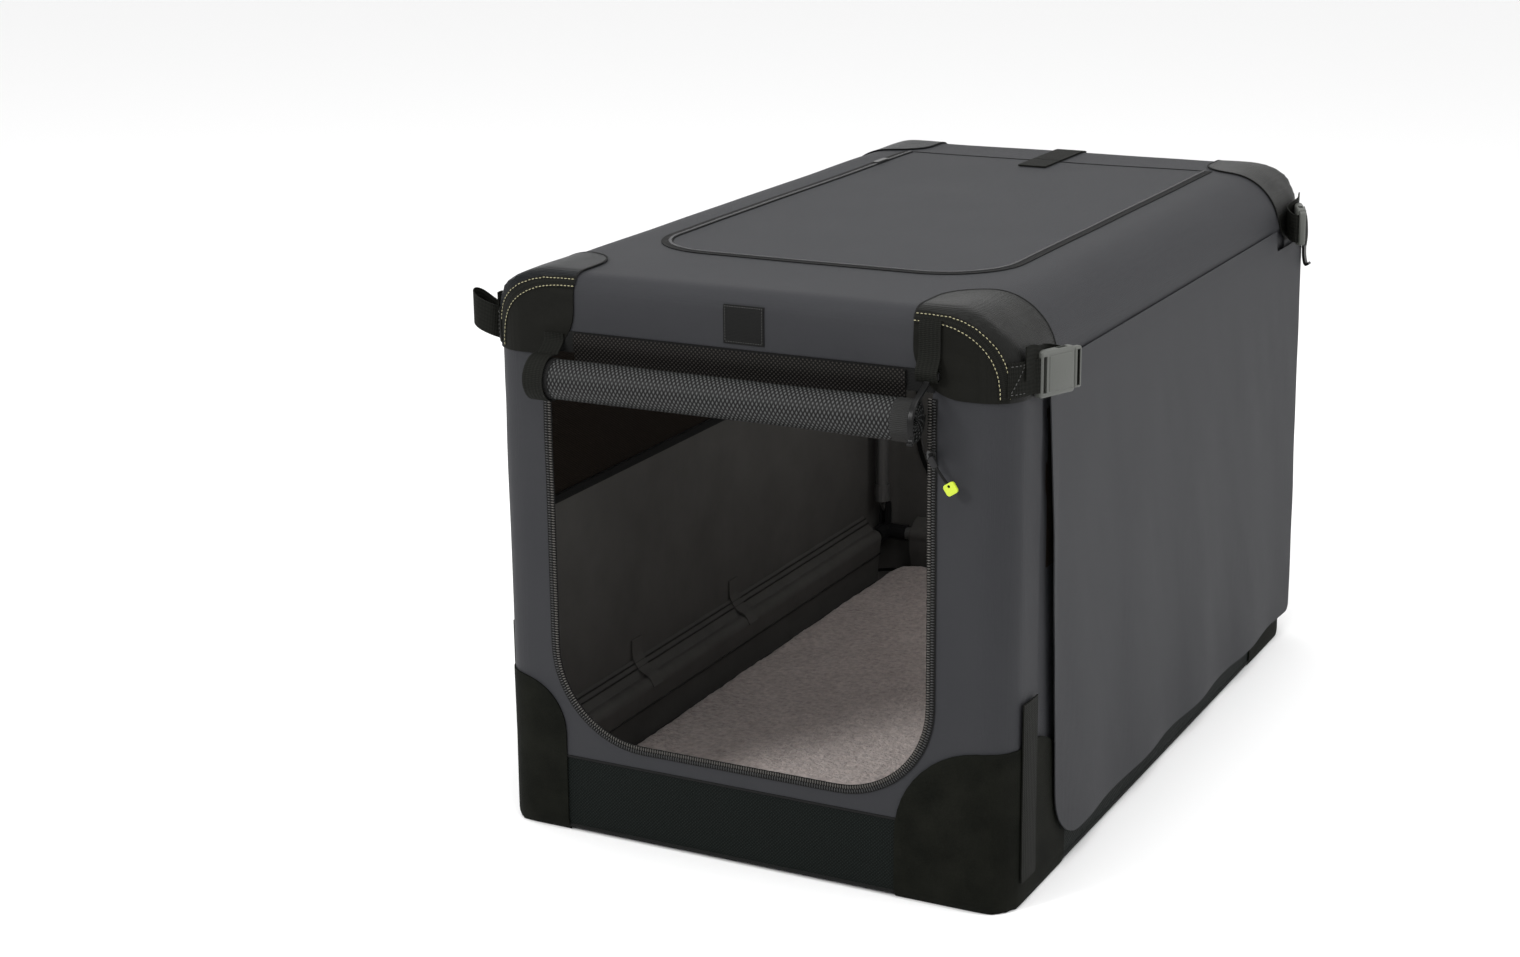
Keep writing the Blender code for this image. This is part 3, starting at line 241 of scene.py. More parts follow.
push_out(form, lambda point: -slack(point))
surface = BVHTree.FromPolygons([vertex.co for vertex in form.data.vertices],
                               [face.vertices for face in form.data.polygons])


def on_cover(point, lift=0.0):
    """The nearest point of the cover's outside, lifted off it, and the way out there."""
    near, normal = surface.find_nearest(Vector(point))[:2]
    return near + normal * lift, normal

# Grey polyester cloth, woven, and coated on one side: a fine plain weave in a cool grey outside, and
# a browner, dull coat within. Both are drawn in metres, from each piece's own coordinates
class Flow:
    """A socket on its way through a material. Arithmetic on it adds Math nodes."""

    def __init__(self, finish, socket):
        self.finish = finish
        self.socket = socket

    def maths(self, operation, *others):
        return self.finish.node("ShaderNodeMath", {"operation": operation}, self, *others)

    def __add__(self, other):
        return self.maths("ADD", other)

    def __mul__(self, other):
        return self.maths("MULTIPLY", other)

    def __sub__(self, other):
        return self.maths("SUBTRACT", other)

    def __rsub__(self, other):
        return self * -1 + other

    __radd__ = __add__
    __rmul__ = __mul__

    def wave(self, pitch):
        """A sine wave of this pitch in metres, from 0 to 1."""
        return (self * (2 * pi / pitch)).maths("SINE") * 0.5 + 0.5

    def clamp(self, low, high):
        """0 at low and 1 at high, and straight in between."""
        return self.finish.node("ShaderNodeMapRange", {"clamp": True}, self, low, high)


class Finish:
    """A material with a Principled shader and a few named helpers."""

    def __init__(self, name, colour, roughness, **plain):
        self.material = bpy.data.materials.new(name)
        self.material.use_nodes = True
        self.nodes = self.material.node_tree.nodes
        self.links = self.material.node_tree.links
        self.shader = self.nodes["Principled BSDF"]
        self.shader.inputs["Base Color"].default_value = (*colour, 1)
        self.shader.inputs["Roughness"].default_value = roughness
        for socket, value in plain.items():
            self.shader.inputs[socket.replace("_", " ")].default_value = value

    def node(self, kind, settings, *values, **named):
        made = self.nodes.new(kind)
        for key, value in settings.items():
            setattr(made, key, value)
        for key, value in [*enumerate(values), *named.items()]:
            socket = made.inputs[key if isinstance(key, int) else key.replace("_", " ")]
            if isinstance(value, Flow):
                self.links.new(value.socket, socket)
            else:
                socket.default_value = value
        return Flow(self, made.outputs[0])

    def output(self, flow, name):
        return Flow(self, flow.socket.node.outputs[name])

    def place(self):
        """x, y and z in metres, and the vector itself."""
        found = self.output(self.node("ShaderNodeTexCoord", {}), "Object")
        split = self.node("ShaderNodeSeparateXYZ", {}, found)
        return [self.output(split, axis) for axis in "XYZ"] + [found]

    def strip_place(self):
        """Metres along and across a strip, from its UV map."""
        found = self.output(self.node("ShaderNodeTexCoord", {}), "UV")
        split = self.node("ShaderNodeSeparateXYZ", {}, found)
        return [self.output(split, axis) for axis in "XY"]

    def cloud(self, vector, scale, detail=3.0):
        return self.node("ShaderNodeTexNoise", {}, Vector=vector, Scale=scale, Detail=detail)

    def mix(self, share, first, second):
        colours = [(*c, 1) if isinstance(c, tuple) else c for c in (first, second)]
        mixed = self.node("ShaderNodeMix", {"data_type": "RGBA"})
        for index, value in ((0, share), (6, colours[0]), (7, colours[1])):
            socket = mixed.socket.node.inputs[index]
            if isinstance(value, Flow):
                self.links.new(value.socket, socket)
            else:
                socket.default_value = value
        return Flow(self, mixed.socket.node.outputs[2])

    def feed(self, **flows):
        for socket, flow in flows.items():
            self.links.new(flow.socket, self.shader.inputs[socket.replace("_", " ")])
        return self

    def relief(self, height, depth):
        """Bump from a height between 0 and 1 that is this deep in metres."""
        bump = self.node("ShaderNodeBump", {}, Strength=1.0, Distance=depth, Height=height)
        return self.feed(Normal=bump)


WEAVE = 0.0007


def make_grey_cloth():
    cloth = Finish("grey_polyester", (0.026, 0.0265, 0.029), 0.58, Specular_IOR_Level=0.12)
    x, y, z, place = cloth.place()
    weave = x.wave(WEAVE) + y.wave(WEAVE) + z.wave(WEAVE)
    tone = cloth.cloud(place, 9.0, 4.0) * 0.7 + cloth.cloud(place, 420.0, 2.0) * 0.3
    colour = cloth.mix(tone.clamp(0.3, 0.7), (0.0225, 0.0230, 0.0256), (0.0263, 0.0268, 0.0295))
    cloth.feed(Base_Color=colour, Roughness=0.52 + tone * 0.12)
    return cloth.relief(weave * 0.25 + cloth.cloud(place, 60.0, 5.0) * 0.6, 0.0003)


def make_lining():
    coat = Finish("brown_coating", (0.075, 0.072, 0.068), 0.80, Specular_IOR_Level=0.2)
    place = coat.place()[3]
    tone = coat.cloud(place, 14.0, 5.0)
    coat.feed(Base_Color=coat.mix(tone.clamp(0.3, 0.7), (0.068, 0.065, 0.061), (0.082, 0.079, 0.074)))
    return coat.relief(coat.cloud(place, 35.0, 6.0), 0.0012)


grey_cloth = make_grey_cloth()
lining = make_lining()

# Front and rear panels of the grey cloth, each wrapped round two corners, with its doorway cut out.
# They are sewn between the skirt and the hood
SKIRT = 0.0935
WRAP = 0.080
CLOTH = 0.003
PANEL_HIGH = SEAM + 0.002
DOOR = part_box("rear_door")
DOOR_LEFT, DOOR_RIGHT, DOOR_FOOT = DOOR[0].x, DOOR[1].x, DOOR[0].z
DOOR_RADIUS = 0.113
DOOR_HEAD = {FRONT: HEIGHT - 0.079, REAR: DOOR[1].z}
HEAD_RADIUS = 0.006
PANEL_FLAT = (0.766, 0.504)
ARC_STEP = 7.5
LEAST_CUT = 0.3
DOUBLES = 0.000005
FACING = {
    "X": Matrix(((0, 0, 1, 0), (1, 0, 0, 0), (0, 1, 0, 0), (0, 0, 0, 1))),
    "Y": Matrix(((1, 0, 0, 0), (0, 0, 1, 0), (0, 1, 0, 0), (0, 0, 0, 1))),
    "Z": Matrix.Identity(4),
}


def on_base(piece):
    """Cloth between the floor and the top frame rides on the base, in a mesh of its own."""
    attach(piece, "base")
    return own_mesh(piece)


def arc(centre, radius, start, end):
    """Points on an arc from start to end degrees; the radius is a number or a pair for an ellipse."""
    wide, high = radius if isinstance(radius, tuple) else (radius, radius)
    steps = max(2, round(abs(end - start) / ARC_STEP))
    turns = [radians(start + (end - start) * i / steps) for i in range(steps + 1)]
    return [(centre[0] + wide * cos(turn), centre[1] + high * sin(turn)) for turn in turns]


def rounded(corners):
    """A closed outline through corners (u, v, radius)."""
    points = []
    for i, (u, v, radius) in enumerate(corners):
        here = Vector((u, v))
        if not radius:
            points.append((u, v))
            continue
        behind = (Vector(corners[i - 1][:2]) - here).normalized()
        ahead = (Vector(corners[(i + 1) % len(corners)][:2]) - here).normalized()
        half_turn = acos(max(-1, min(1, behind.dot(ahead)))) / 2
        centre = here + (behind + ahead).normalized() * radius / sin(half_turn)
        reach = radius * cos(half_turn) / sin(half_turn)
        first = here + behind * reach - centre
        last = here + ahead * reach - centre
        start = degrees(atan2(first.y, first.x))
        turn = (degrees(atan2(last.y, last.x)) - start + 180) % 360 - 180
        points += arc(centre, radius, start, start + turn)
    return points


def prism(name, outline, low, high, axis):
    """A flat outline thickened from low to high along an axis."""
    curve = bpy.data.curves.new(name, "CURVE")
    curve.dimensions = "2D"
    curve.fill_mode = "BOTH"
    curve.extrude = (high - low) / 2
    line = curve.splines.new("POLY")
    line.points.add(len(outline) - 1)
    for point, place in zip(line.points, outline):
        point.co = (*place, 0, 1)
    line.use_cyclic_u = True
    piece = bpy.data.objects.new(name, curve)
    bpy.context.scene.collection.objects.link(piece)
    take(piece)
    bpy.ops.object.convert(target="MESH")
    piece.data.transform(FACING[axis] @ Matrix.Translation((0, 0, (high + low) / 2)))
    bpy.ops.object.mode_set(mode="EDIT")
    bpy.ops.mesh.select_all(action="SELECT")
    bpy.ops.mesh.remove_doubles(threshold=DOUBLES)
    bpy.ops.mesh.normals_make_consistent(inside=False)
    bpy.ops.object.mode_set(mode="OBJECT")
    return name_it(piece, name)


def twin(piece, name):
    copy = piece.copy()
    copy.data = piece.data.copy()
    bpy.context.scene.collection.objects.link(copy)
    return name_it(copy, name)


def bisect(piece, point, normal):
    """Cut away what lies on the side that the normal points to."""
    take(piece)
    bpy.ops.object.mode_set(mode="EDIT")
    bpy.ops.mesh.select_all(action="SELECT")
    bpy.ops.mesh.bisect(plane_co=point, plane_no=normal, clear_outer=True)
    bpy.ops.object.mode_set(mode="OBJECT")
    return piece


def cut_cloth(name, low, high, lift, thickness):
    """A panel of the cover between two corners, as one sheet with a real thickness."""
    cloth = twin(form, name)
    for axis in range(3):
        normal = Vector((axis == 0, axis == 1, axis == 2))
        if high[axis] is not None:
            bisect(cloth, normal * high[axis], normal)
        if low[axis] is not None:
            bisect(cloth, normal * low[axis], -normal)
    if lift:
        push_out(cloth, lambda point: lift)
    for face in (grey_cloth, lining):
        cloth.data.materials.append(face.material)
    modify(cloth, "SOLIDIFY", thickness=thickness, offset=-1, material_offset=1, use_rim=True)
    return cloth


def smooth(piece, angle=35):
    take(piece)
    bpy.ops.object.shade_smooth_by_angle(angle=radians(angle))
    return piece


def dress(piece, finish, slot):
    """Give a piece its finish; the slot is not used."""
    for number, one in enumerate(finish if isinstance(finish, tuple) else (finish,)):
        if number < len(piece.data.materials):
            piece.data.materials[number] = one.material
        else:
            piece.data.materials.append(one.material)
    return piece


def cloth(piece, flat, held="stretched"):
    """The area of a sheet's cut, half of its surface, held between a share of its flat size and the whole;
    the piece comes back unchanged.
    """
    area = sum(face.area for face in piece.data.polygons) / 2
    whole = flat[0] * flat[1]
    area = max(LEAST_CUT * whole, min(whole, area))
    return piece


def doorway(end, grow):
    """The doorway's outline, this much larger all round."""
    left, right_side, foot = DOOR_LEFT - grow, DOOR_RIGHT + grow, DOOR_FOOT - grow
    head = DOOR_HEAD[end] + grow
    return rounded([(left, foot, DOOR_RADIUS + grow), (right_side, foot, DOOR_RADIUS + grow),
                    (right_side, head, HEAD_RADIUS), (left, head, HEAD_RADIUS)])


for end, node, inward in ((FRONT, "front_panel", 1), (REAR, "rear_panel", -1)):
    seam_y = end + inward * WRAP
    low = (None, seam_y if end == REAR else None, SKIRT)
    high = (None, seam_y if end == FRONT else None, PANEL_HIGH)
    panel = cut_cloth(node + "_cloth", low, high, 0, CLOTH)
    shape_by(panel, prism("doorway", doorway(end, 0), end - ROOM, end + ROOM, "Y"), "DIFFERENCE")
    smooth(panel)
    dress(panel, (grey_cloth, lining), "grey_cloth")
    on_base(panel)
    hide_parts(node)
    cloth(panel, PANEL_FLAT)

# Side walls behind the curtains, of the same coated cloth, with a wide window of black mesh each.
# The mesh is sewn in, and a black tape binds the window's edge from inside
WALL_BACK = 0.003
WINDOW_LOW = 0.370
WINDOW_HIGH = HEIGHT - 0.119
WINDOW_END = (0.026, 0.075)
WINDOW_RADIUS = 0.004
BINDING = 0.010
MESH, MESH_LAP = 0.0008, 0.004
MESH_TURNED = 0.01
TAPE, TAPE_CLEAR = 0.0012, 0.0016
WALL_FLAT = (REAR - FRONT - 2 * WRAP, PANEL_FLAT[1])
mesh_window = Finish("window_mesh", (0.012, 0.008, 0.005), 0.8, Specular_IOR_Level=0.1)
mesh_place = mesh_window.place()
mesh_window.relief(mesh_place[1].wave(0.0022) * mesh_place[2].wave(0.0022), 0.0006)
black_tape = Finish("black_tape", (0.0065, 0.0066, 0.0064), 0.72, Specular_IOR_Level=0.12)
tape_place = black_tape.place()
tape_rib = tape_place[0].wave(0.0011) + tape_place[1].wave(0.0011) + tape_place[2].wave(0.0016)
black_tape.relief(tape_rib, 0.0002)


def oblong(low, high, radius, grow=0.0):
    """A rounded rectangle between two corners, this much larger all round."""
    left, foot, right_side, head = low[0] - grow, low[1] - grow, high[0] + grow, high[1] + grow
    return rounded([(left, foot, radius + grow), (right_side, foot, radius + grow),
                    (right_side, head, radius + grow), (left, head, radius + grow)])


window_low = (FRONT + WRAP + WINDOW_END[0], WINDOW_LOW)
window_high = (REAR - WRAP - WINDOW_END[1], WINDOW_HIGH)
mesh_flat = [high - low + MESH_TURNED for low, high in zip(window_low, window_high)]
for side, node in ((1, "right_wall"), (-1, "left_wall")):
    inner = side * (HALF - ROOM)
    low = (inner if side > 0 else None, FRONT + WRAP, SKIRT)
    high = (inner if side < 0 else None, REAR - WRAP, PANEL_HIGH)
    wall = cut_cloth(node + "_cloth", low, high, -WALL_BACK, CLOTH)
    reach = sorted((side * HALF * 0.9, side * HALF * 1.1))
    window = oblong(window_low, window_high, WINDOW_RADIUS)
    shape_by(wall, prism("window", window, *reach, "X"), "DIFFERENCE")
    smooth(wall)
    dress(wall, (grey_cloth, lining), "grey_cloth")
    on_base(wall)
    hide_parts(node)
    cloth(wall, WALL_FLAT)
    plane = side * (HALF - WALL_BACK - CLOTH / 2)
    outer = oblong(window_low, window_high, WINDOW_RADIUS, MESH_LAP)
    mesh = prism(node + "_mesh", outer, plane - MESH / 2, plane + MESH / 2, "X")
    dress(mesh, mesh_window, "black_mesh")
    on_base(mesh)
    cloth(mesh, tuple(mesh_flat))
    band = oblong(window_low, window_high, WINDOW_RADIUS, BINDING)
    inside = side * (HALF - WALL_BACK - CLOTH - TAPE_CLEAR)
    tape = prism(node + "_window_tape", band, *sorted((inside, inside - side * TAPE)), "X")
    reach = sorted((inside - side * ROOM, inside + side * ROOM))
    shape_by(tape, prism("window", window, *reach, "X"), "DIFFERENCE")
    dress(tape, black_tape, "webbing")
    on_base(tape)

# Floor tray: one cloth that lines the floor and is folded up round the base frame. Outside it shows
# as the black mesh skirt, sewn to the panels' lower edge, and inside as the coated floor
TRAY_FLAT = (0.82, 1.23)
skirt_mesh = Finish("skirt_mesh", (0.0050, 0.0062, 0.0056), 0.62, Specular_IOR_Level=0.06)
skirt_place = skirt_mesh.place()
skirt_round = skirt_place[0] + skirt_place[1]
skirt_grid = (skirt_round + skirt_place[2]).wave(0.0042) * (skirt_round - skirt_place[2]).wave(0.0042)
skirt_mesh.feed(Base_Color=skirt_mesh.mix(skirt_grid, (0.0025, 0.0034, 0.0030), (0.0085, 0.0120, 0.0105)))
skirt_mesh.relief(skirt_grid, 0.0008)
tray = cut_cloth("floor_tray_cloth", (None, None, None), (None, None, SKIRT), 0, CLOTH)
smooth(tray)
dress(tray, (skirt_mesh, lining), "black_mesh")
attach(tray, "base")
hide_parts("floor_tray")
cloth(tray, TRAY_FLAT)

# Top cover: a hood of the grey cloth over the top frame, with an opening in its roof. The hatch is cut
# from the same cloth, a hair smaller than the opening, and is sewn to the hood at its rear edge
HATCH_LOW, HATCH_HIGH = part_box("top_hatch")
HATCH_RADIUS = 0.080
HATCH_GAP = 0.0006
HATCH_CLOTH = 0.002
HOOD_FLAT = (0.724, 1.177)
HATCH_FLAT = (0.422, 0.760)


def hatch_outline(grow):
    return rounded([(HATCH_LOW.x - grow, HATCH_LOW.y - grow, HATCH_RADIUS + grow),
                    (HATCH_HIGH.x + grow, HATCH_LOW.y - grow, HATCH_RADIUS + grow),
                    (HATCH_HIGH.x + grow, HATCH_HIGH.y + grow, 0),
                    (HATCH_LOW.x - grow, HATCH_HIGH.y + grow, 0)])


hood = cut_cloth("top_cover_cloth", (None, None, SEAM), (None, None, None), 0, CLOTH)
hatch = cut_cloth("top_hatch_cloth", (HATCH_LOW.x - ROOM, HATCH_LOW.y - ROOM, HEIGHT - ROOM),
                  (HATCH_HIGH.x + ROOM, HATCH_HIGH.y + ROOM, None), 0, HATCH_CLOTH)
shape_by(hood, prism("opening", hatch_outline(HATCH_GAP), HEIGHT - ROOM, HEIGHT + ROOM, "Z"), "DIFFERENCE")
shape_by(hatch, prism("opening", hatch_outline(0), HEIGHT - ROOM, HEIGHT + ROOM, "Z"), "INTERSECT")
for piece, body, node, flat in ((hood, "top_frame", "top_cover", HOOD_FLAT),
                                (hatch, "hatch", "top_hatch", HATCH_FLAT)):
    smooth(piece)
    dress(piece, (grey_cloth, lining), "grey_cloth")
    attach(piece, body)
    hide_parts(node)
    cloth(piece, flat)

# Corner patches of tougher black cloth, sewn over the hood's and the tray's corners. The top ones are
# matt below their arched seam and a ripstop with a slight shine above it, whose colour is painted darker
# and bluer on the left-hand patches as painted shade. The foot ones are matt
OVER = 0.012
PATCH = 0.0018
LIFT = 0.0003 + PATCH
PATCH_LOW = HEIGHT - 0.094
PATCH_IN = HALF - 0.114
PATCH_BACK = 0.115
PATCH_RADIUS = 0.055
PATCH_FLAT = (0.26, 0.17)
ARCH = (0.106, 0.091)
ARCH_FULLNESS = 2.6
RIPSTOP = 0.0011
patch_cloth = Finish("patch_cloth", (0.0080, 0.0080, 0.0060), 0.62, Specular_IOR_Level=0.10)
patch_x, patch_y, patch_z, patch_place = patch_cloth.place()
patch_across = (patch_x.maths("ABSOLUTE") - PATCH_IN).maths("MAXIMUM", 0.0)
patch_round = (patch_across * (1 / ARCH[0])).maths("POWER", ARCH_FULLNESS)
patch_rise = ((patch_z - PATCH_LOW).maths("MAXIMUM", 0.0) * (1 / ARCH[1])).maths("POWER", ARCH_FULLNESS)
upper = (patch_round + patch_rise).clamp(0.93, 0.95)
# Painted shade: the ripstop's colour turns darker and bluer on the left-hand patches (x below 0) and stays
# lighter on the right ones, for how the light falls
painted_shade_left = patch_x.clamp(0.1, -0.1)
ripstop = patch_x.wave(RIPSTOP) * patch_y.wave(RIPSTOP) + patch_z.wave(RIPSTOP)
ripstop_painted_shade = patch_cloth.mix(painted_shade_left, (0.0062, 0.0063, 0.0056), (0.0022, 0.0030, 0.0038))
patch_tone = patch_cloth.mix(upper, (0.0042, 0.0042, 0.0030), ripstop_painted_shade)
patch_cloth.feed(Base_Color=patch_tone, Roughness=0.70 - upper * 0.34)
patch_cloth.relief(ripstop * 0.2 + patch_cloth.cloud(patch_place, 38.0, 4.0), 0.0012)
foot_cloth = Finish("foot_patch_cloth", (0.0042, 0.0047, 0.0034), 0.72, Specular_IOR_Level=0.04)
foot_x, foot_y, foot_z, foot_place = foot_cloth.place()
foot_tone = foot_cloth.cloud(foot_place, 26.0, 5.0) * 0.6 + foot_cloth.cloud(foot_place, 700.0, 2.0) * 0.4
foot_dark, foot_light = (0.0028, 0.0032, 0.0022), (0.0072, 0.0076, 0.0056)
foot_cloth.feed(Base_Color=foot_cloth.mix(foot_tone.clamp(0.35, 0.65), foot_dark, foot_light))
foot_weave = (foot_x + foot_y).wave(0.0012) * foot_z.wave(0.0012) * 0.6
foot_cloth.relief(foot_weave + foot_cloth.cloud(foot_place, 70.0, 4.0) * 0.6, 0.0005)
CORNERS = [(side, end) for end in (FRONT, REAR) for side in (1, -1)]
CORNER_NAMES = {(side, end): ("front" if end == FRONT else "rear") + "_" + ("right" if side > 0 else "left")
                for side, end in CORNERS}


def corner_skin(name, side, end, reach_in, reach_back, low, high):
    """The cover's skin round one corner, lifted off it by a patch's thickness."""
    inner = side * (reach_in - OVER)
    inward = 1 if end == FRONT else -1
    seam = end + inward * (reach_back + OVER)
    return cut_cloth(
        name,
        (inner if side > 0 else None, seam if end == REAR else None, low),
        (inner if side < 0 else None, seam if end == FRONT else None, high),
        LIFT, PATCH)


def corner_block(side, end, reach_in, reach_back, low, high, low_radius, high_radius, plan_radius):
    """The space over one corner, its edges rounded as seen from the end, the side and above."""
    outer, inner = side * (HALF + ROOM), side * reach_in
    inward = 1 if end == FRONT else -1
    beyond, seam = end - inward * ROOM, end + inward * reach_back

    def upright(far, near):
        return rounded([(far, low, 0), (near, low, low_radius), (near, high, high_radius), (far, high, 0)])

    room = prism("from_end", upright(outer, inner), *sorted((beyond, seam)), "Y")
    from_side = prism("from_side", upright(beyond, seam), -HALF - 2 * ROOM, HALF + 2 * ROOM, "X")
    shape_by(room, from_side, "INTERSECT")
    if plan_radius:
        plan = rounded([(outer, beyond, 0), (inner, beyond, 0), (inner, seam, plan_radius), (outer, seam, 0)])
        shape_by(room, prism("from_above", plan, low - OVER, high + OVER, "Z"), "INTERSECT")
    return room


FOOT_HIGH = 0.187
FOOT_BACK = 0.168
FOOT_IN = {1: HALF - 0.134, -1: HALF - 0.086}
FOOT_RADIUS = {1: 0.110, -1: 0.065}
FOOT_HEM = 0.001
FOOT_FLAT = (0.30, FOOT_HIGH)
for side, end in CORNERS:
    corner = CORNER_NAMES[side, end]
    patch = corner_skin("top_patch_" + corner + "_cloth", side, end, PATCH_IN, PATCH_BACK, PATCH_LOW - OVER,
                        None)
    room = corner_block(side, end, PATCH_IN, PATCH_BACK, PATCH_LOW, HEIGHT + ROOM, PATCH_RADIUS, 0,
                        PATCH_RADIUS)
    shape_by(patch, room, "INTERSECT")
    smooth(patch)
    dress(patch, patch_cloth, "black_cloth")
    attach(patch, "top_frame")
    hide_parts("top_patch_" + corner)
    cloth(patch, PATCH_FLAT)
    foot = corner_skin("foot_patch_" + corner + "_cloth", side, end, FOOT_IN[side], FOOT_BACK, FOOT_HEM,
                       FOOT_HIGH + OVER)
    room = corner_block(side, end, FOOT_IN[side], FOOT_BACK, -OVER, FOOT_HIGH, 0, FOOT_RADIUS[side], 0)
    shape_by(foot, room, "INTERSECT")
    smooth(foot)
    dress(foot, foot_cloth, "black_cloth")
    on_base(foot)
    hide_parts("foot_patch_" + corner)
    cloth(foot, FOOT_FLAT)

# Frame: painted steel tubes plugged and pinned into moulded plastic joints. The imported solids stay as
# they are, and get their finishes by the record's slots
def grained(name, colour, roughness, grain, detail=2.0, deep=0.0001, **plain):
    """A finish in one colour with a fine grain, so many clouds to the metre."""
    finish = Finish(name, colour, roughness, **plain)
    finish.relief(finish.cloud(finish.place()[3], grain, detail), deep)
    return finish


steel = grained("painted_steel", (0.115, 0.115, 0.112), 0.42, 300.0, 3.0, Metallic=0.35)
moulded = grained("moulded_joint", (0.010, 0.010, 0.0105), 0.45, 500.0, 3.0, Specular_IOR_Level=0.2)
light_plastic = grained("light_plastic", (0.068, 0.071, 0.064), 0.46, 450.0, 3.0, Specular_IOR_Level=0.35)
zip_plastic = grained("zip_plastic", (0.014, 0.014, 0.014), 0.34, 300.0)
MOULD_BEND = 40
SLOT_FINISH = {"steel_tube": steel, "joint_plastic": moulded, "buckle_plastic": light_plastic,
               "zip_plastic": zip_plastic, "webbing": black_tape}
for part in frame["record"]["subparts"]:
    if part["material_slot"] in SLOT_FINISH:
        node = frame["nodes"][part["node"]]
        node.data.materials.clear()
        node.data.materials.append(SLOT_FINISH[part["material_slot"]].material)
        smooth(node, MOULD_BEND)

# Arched seam on each top corner patch: a folded edge band of ribbed webbing between two rows of
# stitches in thick beige thread, sewn from the foot of the patch up to the edge of the roof
webbing = Finish("webbing", (0.0070, 0.0072, 0.0062), 0.62, Specular_IOR_Level=0.06)
web_along, web_across = webbing.strip_place()
web_rib = web_along.wave(0.0020) * 0.6 + web_across.wave(0.0045) * 0.4
webbing.feed(Base_Color=webbing.mix(web_rib, (0.0034, 0.0036, 0.0029), (0.0088, 0.0091, 0.0074)))
webbing.relief(web_rib, 0.0006)
thread = grained("beige_thread", (0.30, 0.275, 0.16), 0.6, 900.0)
STITCH = (0.0036, 0.0011, 0.0009)
STITCH_PITCH = 0.0046
STITCH_LIFT = 0.0008
SEAM_BAND = 0.0125
BAND = 0.0006
ARCH_STEPS = 16
ARCH_START = 1
TAPE_BEND = 60
SHEET_STEP, STRAP_STEP = 0.005, 0.0025


def round_corner(side, end, along, z):
    """The place this far along the cover's outline from the middle of an end, at a height."""
    inward = 1 if end == FRONT else -1
    straight = HALF - PLAN_RADIUS
    if along <= straight:
        return Vector((side * along, end, z))
    turn = (along - straight) / PLAN_RADIUS
    if turn <= pi / 2:
        return Vector((side * (straight + PLAN_RADIUS * sin(turn)),
                       end + inward * PLAN_RADIUS * (1 - cos(turn)), z))
    return Vector((side * HALF, end + inward * (PLAN_RADIUS + along - straight - PLAN_RADIUS * pi / 2), z))


def face_outwards(piece):
    take(piece)
    bpy.ops.object.mode_set(mode="EDIT")
    bpy.ops.mesh.select_all(action="SELECT")
    bpy.ops.mesh.normals_make_consistent(inside=False)
    bpy.ops.object.mode_set(mode="OBJECT")
    return piece


def lay(name, place, columns, rows, size, thickness=0.0):
    """A sheet: a grid whose every point (along, across) from 0 to 1 goes where a function says.
    Its UV map is in metres."""
    let_go()
    bpy.ops.mesh.primitive_grid_add(x_subdivisions=columns, y_subdivisions=rows, size=1)
    piece = name_it(bpy.context.object, name)
    for vertex in piece.data.vertices:
        vertex.co = place(vertex.co.x + 0.5, vertex.co.y + 0.5)
    for corner in piece.data.uv_layers[0].data:
        corner.uv = (corner.uv[0] * size[0], corner.uv[1] * size[1])
    if thickness:
        modify(piece, "SOLIDIFY", thickness=thickness, offset=0)
    return face_outwards(piece)


def strew(name, unit, places):
    """Many copies of a small piece in one mesh. The unit is used up."""
    corners = [vertex.co.copy() for vertex in unit.data.vertices]
    sides = [tuple(face.vertices) for face in unit.data.polygons]
    points = [place @ corner for place in places for corner in corners]
    faces = [tuple(i + n * len(corners) for i in side) for n in range(len(places)) for side in sides]
    mesh = bpy.data.meshes.new(name)
    mesh.from_pydata(points, [], faces)
    piece = bpy.data.objects.new(name, mesh)
    bpy.context.scene.collection.objects.link(piece)
    bpy.data.objects.remove(unit, do_unlink=True)
    return piece


def even(line, step):
    """Places at even steps along a line, each with the direction of the line there."""
    found = []
    left = step / 2
    for a, b in zip(line, line[1:]):
        run = b - a
        while left <= run.length:
            found.append((a + run * (left / run.length), run.normalized()))
            left += step
        left -= run.length
    return found


def length_of(line):
    return sum((b - a).length for a, b in zip(line, line[1:]))


def along_line(line, share):
    """The point this share of the way along a line."""
    left = share * length_of(line)
    for a, b in zip(line, line[1:]):
        run = (b - a).length
        if left <= run or b is line[-1]:
            return a + (b - a) * (left / run if run else 0), (b - a).normalized()
        left -= run


def ribbon(name, line, width, thickness, lift, across=4):
    """A strip of tape or webbing that lies along a line on the cover."""
    size = (length_of(line), width)
    columns = max(4, round(size[0] / SHEET_STEP))

    def place(u, v):
        point, run = along_line(line, u)
        normal = on_cover(point)[1]
        side = run.cross(normal).normalized()
        return on_cover(point + side * width * (v - 0.5), lift + thickness / 2)[0]

    return lay(name, place, columns, across, size, thickness)


def sewn(name, line, pitch, size, lift):
    """A row of stitches or teeth along a line on the cover."""
    let_go()
    bpy.ops.mesh.primitive_ico_sphere_add(subdivisions=1, radius=0.5)
    unit = bpy.context.object
    unit.data.transform(Matrix.Diagonal((*size, 1)))
    places = []
    for point, run in even(line, pitch):
        near, normal = on_cover(point, lift)
        side = run.cross(normal).normalized()
        turn = Matrix((run, side, side.cross(run) * -1)).transposed().to_4x4()
        places.append(Matrix.Translation(near) @ turn)
    piece = strew(name, unit, places)
    piece.data.shade_smooth()
    return piece


